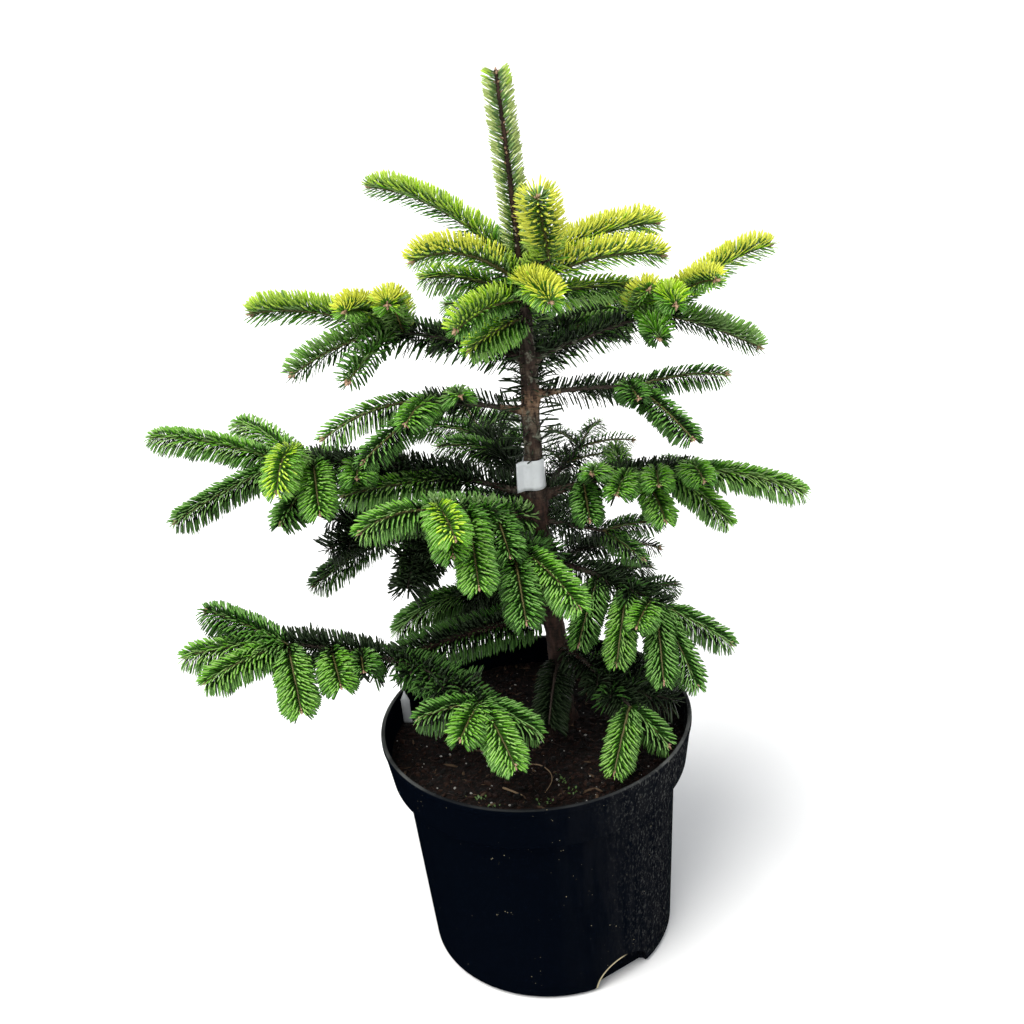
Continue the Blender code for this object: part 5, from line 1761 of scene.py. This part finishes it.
def backdrop(finish):
    """A round floor that sweeps up into a low wall on all sides."""
    outline = [(0.01, 0.0), (FLOOR_RADIUS * 0.5, 0.0), (FLOOR_RADIUS, 0.0)]
    for angle in np.linspace(0, math.pi / 2, SWEEP_STEPS)[1:]:
        across, rise = SWEEP_RADIUS * math.sin(angle), SWEEP_RADIUS * (1 - math.cos(angle))
        outline.append((FLOOR_RADIUS + across, rise))
    outline.append((FLOOR_RADIUS + SWEEP_RADIUS, WALL_HEIGHT))
    pile = Pile()
    quads, _ = ring_faces(len(outline), FLOOR_SIDES)
    pile.add(turned(outline, FLOOR_SIDES), quads)
    pile.add(None, [tuple(range(FLOOR_SIDES))])
    floor = pile.build("floor", [finish], smooth=True)
    return floor


def soft_sun(name, strength, towards, spread, colour):
    """An even light from far away; spread is the angle that its source fills, in degrees."""
    light = bpy.data.lights.new(name, "SUN")
    light.energy = strength
    light.angle = math.radians(spread)
    light.color = colour
    lamp = bpy.data.objects.new(name, light)
    lamp.rotation_euler = Vector(towards).to_track_quat("-Z", "Y").to_euler()
    bpy.context.scene.collection.objects.link(lamp)


def even_sky(strength):
    world = bpy.data.worlds.new("even_sky")
    world.use_nodes = True
    sky = world.node_tree.nodes["Background"].inputs
    sky["Color"].default_value = SKY_COLOUR
    sky["Strength"].default_value = strength
    return world


def front_camera(lens):
    camera = bpy.data.cameras.new("camera")
    camera.lens = lens
    camera.sensor_width = SENSOR_WIDTH
    view = bpy.data.objects.new("camera", camera)
    view.matrix_world = camera_matrix()
    bpy.context.scene.collection.objects.link(view)
    return view


# Operators

class FIR_OT_pot(bpy.types.Operator):
    """Make the moulded nursery pot"""

    bl_idname = "fir.pot"
    bl_label = "Nursery Pot"

    def execute(self, context):
        settings = context.scene.fir_pot
        place(moulded_pot(settings, pot_finish(settings)), "pot_plastic", "pot")
        return {"FINISHED"}


class FIR_OT_compost(bpy.types.Operator):
    """Fill the pot with bark compost, crumbs, stalks and seedlings"""

    bl_idname = "fir.compost"
    bl_label = "Compost"

    def execute(self, context):
        settings = context.scene.fir_compost
        bed = compost_bed().build("compost_bed", [compost_finish(settings)], smooth=True)
        place(facing_out(bed), "compost", "soil")
        crumbs = [
            plain_finish("crumb_" + tint, getattr(settings, tint), 0.8, Specular_IOR_Level=0.25)
            for tint in CRUMB_TINTS
        ]
        place(scattered_crumbs(settings).build("compost_crumbs", crumbs), "compost")
        straw = plain_finish("dry_stalk", settings.straw, 0.7)
        fibre = plain_finish("root_fibre", settings.brown, 0.8)
        place(stalks_and_fibres().build("stalks_and_fibres", [straw, fibre], smooth=True), "compost")
        green = plain_finish("seedling_green", settings.moss, 0.5)
        place(seedlings().build("seedlings", [green]), "compost")
        return {"FINISHED"}


class FIR_OT_label(bpy.types.Operator):
    """Wrap the bare label round the trunk and stand the tag in the compost"""

    bl_idname = "fir.label"
    bl_label = "Label and Tag"

    def execute(self, context):
        paper = film_finish("label_white", LABEL_WHITE, 0.42)
        label = wrap_label().build("wrap_label", [paper], smooth=True)
        place(facing_out(label), "label_film", "plain_label")
        plastic = film_finish("tag_grey", TAG_GREY, 0.5)
        place(facing_out(pointed_tag().build("pointed_tag", [plastic])), "tag_film", "plain_tag")
        return {"FINISHED"}


class FIR_OT_trunk(bpy.types.Operator):
    """Give the trunk its bark"""

    bl_idname = "fir.trunk"
    bl_label = "Trunk"

    def execute(self, context):
        settings = context.scene.fir_wood
        trunk = bark_trunk(settings).build("bark_trunk", [bark_finish(settings)], smooth=True)
        place(facing_out(trunk), "bark", "trunk")
        return {"FINISHED"}


class FIR_OT_limbs(bpy.types.Operator):
    """Give the bare limbs their bark"""

    bl_idname = "fir.limbs"
    bl_label = "Limbs"

    def execute(self, context):
        settings = context.scene.fir_wood
        limbs, _ = grown_stems()
        pile = Pile()
        for stem in limbs:
            bark_limb(pile, stem, settings)
        made = pile.build("bark_limbs", [bark_finish(settings, "limb_bark")], smooth=True)
        place(facing_out(made), "bark", *["limb_" + stem.name for stem in limbs])
        return {"FINISHED"}


class FIR_OT_foliage(bpy.types.Operator):
    """Grow twigs, buds and needles on every whorl and on the leader"""

    bl_idname = "fir.foliage"
    bl_label = "Twigs and Needles"

    def execute(self, context):
        settings, wood = context.scene.fir_needles, context.scene.fir_wood
        greens = needle_finishes(settings)
        browns = [
            plain_finish("old_twig", wood.old_twig, 0.8),
            plain_finish("young_twig", wood.young_twig, 0.6),
            plain_finish("bud_scales", wood.bud, 0.5),
        ]
        limbs, stems = grown_stems()
        for group in GROUPS:
            nodes = [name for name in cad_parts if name.startswith("foliage_" + group)]
            if group == "top":
                nodes.append("foliage_leader")
            twigs = twigs_of(group, stems)
            place(twigs.build("twigs_" + group, browns, smooth=True), "bark", *nodes)
            slot = "young_needles" if group in YOUNG_GROUPS else "grown_needles"
            for side, chosen in sides_of(group, clothed_stems(group, limbs, stems)):
                needles = Needles(settings)
                for stem, share in chosen:
                    needles.clothe(stem, share)
                place(needles.build("needles_" + group + side, greens), slot, *nodes)
        return {"FINISHED"}


class FIR_OT_stage(bpy.types.Operator):
    """Set up the pale floor, the lights and the camera"""

    bl_idname = "fir.stage"
    bl_label = "Stage"

    def execute(self, context):
        scene, settings = context.scene, context.scene.fir_stage
        backdrop(floor_finish(settings.floor))
        soft_sun("key", settings.key, *KEY_LIGHT)
        soft_sun("fill", settings.fill, *FILL_LIGHT)
        scene.world = even_sky(settings.sky)
        scene.camera = front_camera(settings.lens)
        scene.view_settings.view_transform = "Standard"
        return {"FINISHED"}


class FIR_PT_panel(bpy.types.Panel):
    """Lists the pieces of the potted fir"""

    bl_idname = "FIR_PT_panel"
    bl_label = "Potted Fir"
    bl_space_type = "VIEW_3D"
    bl_region_type = "UI"
    bl_category = "Potted Fir"

    def draw(self, context):
        for name in SETTINGS:
            box = self.layout.box()
            group = getattr(context.scene, name)
            for key in group.__annotations__:
                box.prop(group, key)
        for operator in OPERATORS:
            self.layout.operator(operator.bl_idname)


SETTINGS = {
    "fir_needles": NeedleSettings,
    "fir_wood": WoodSettings,
    "fir_pot": PotSettings,
    "fir_compost": CompostSettings,
    "fir_stage": StageSettings,
}
OPERATORS = (
    FIR_OT_pot,
    FIR_OT_compost,
    FIR_OT_label,
    FIR_OT_trunk,
    FIR_OT_limbs,
    FIR_OT_foliage,
    FIR_OT_stage,
)


def register():
    for name, group in SETTINGS.items():
        bpy.utils.register_class(group)
        setattr(bpy.types.Scene, name, PointerProperty(type=group))
    for operator in OPERATORS:
        bpy.utils.register_class(operator)
    bpy.utils.register_class(FIR_PT_panel)


def unregister():
    bpy.utils.unregister_class(FIR_PT_panel)
    for operator in reversed(OPERATORS):
        bpy.utils.unregister_class(operator)
    for name, group in SETTINGS.items():
        delattr(bpy.types.Scene, name)
        bpy.utils.unregister_class(group)


def main():
    register()
    for operator in OPERATORS:
        area, name = operator.bl_idname.split(".")
        getattr(getattr(bpy.ops, area), name)()


if __name__ == "__main__":
    main()
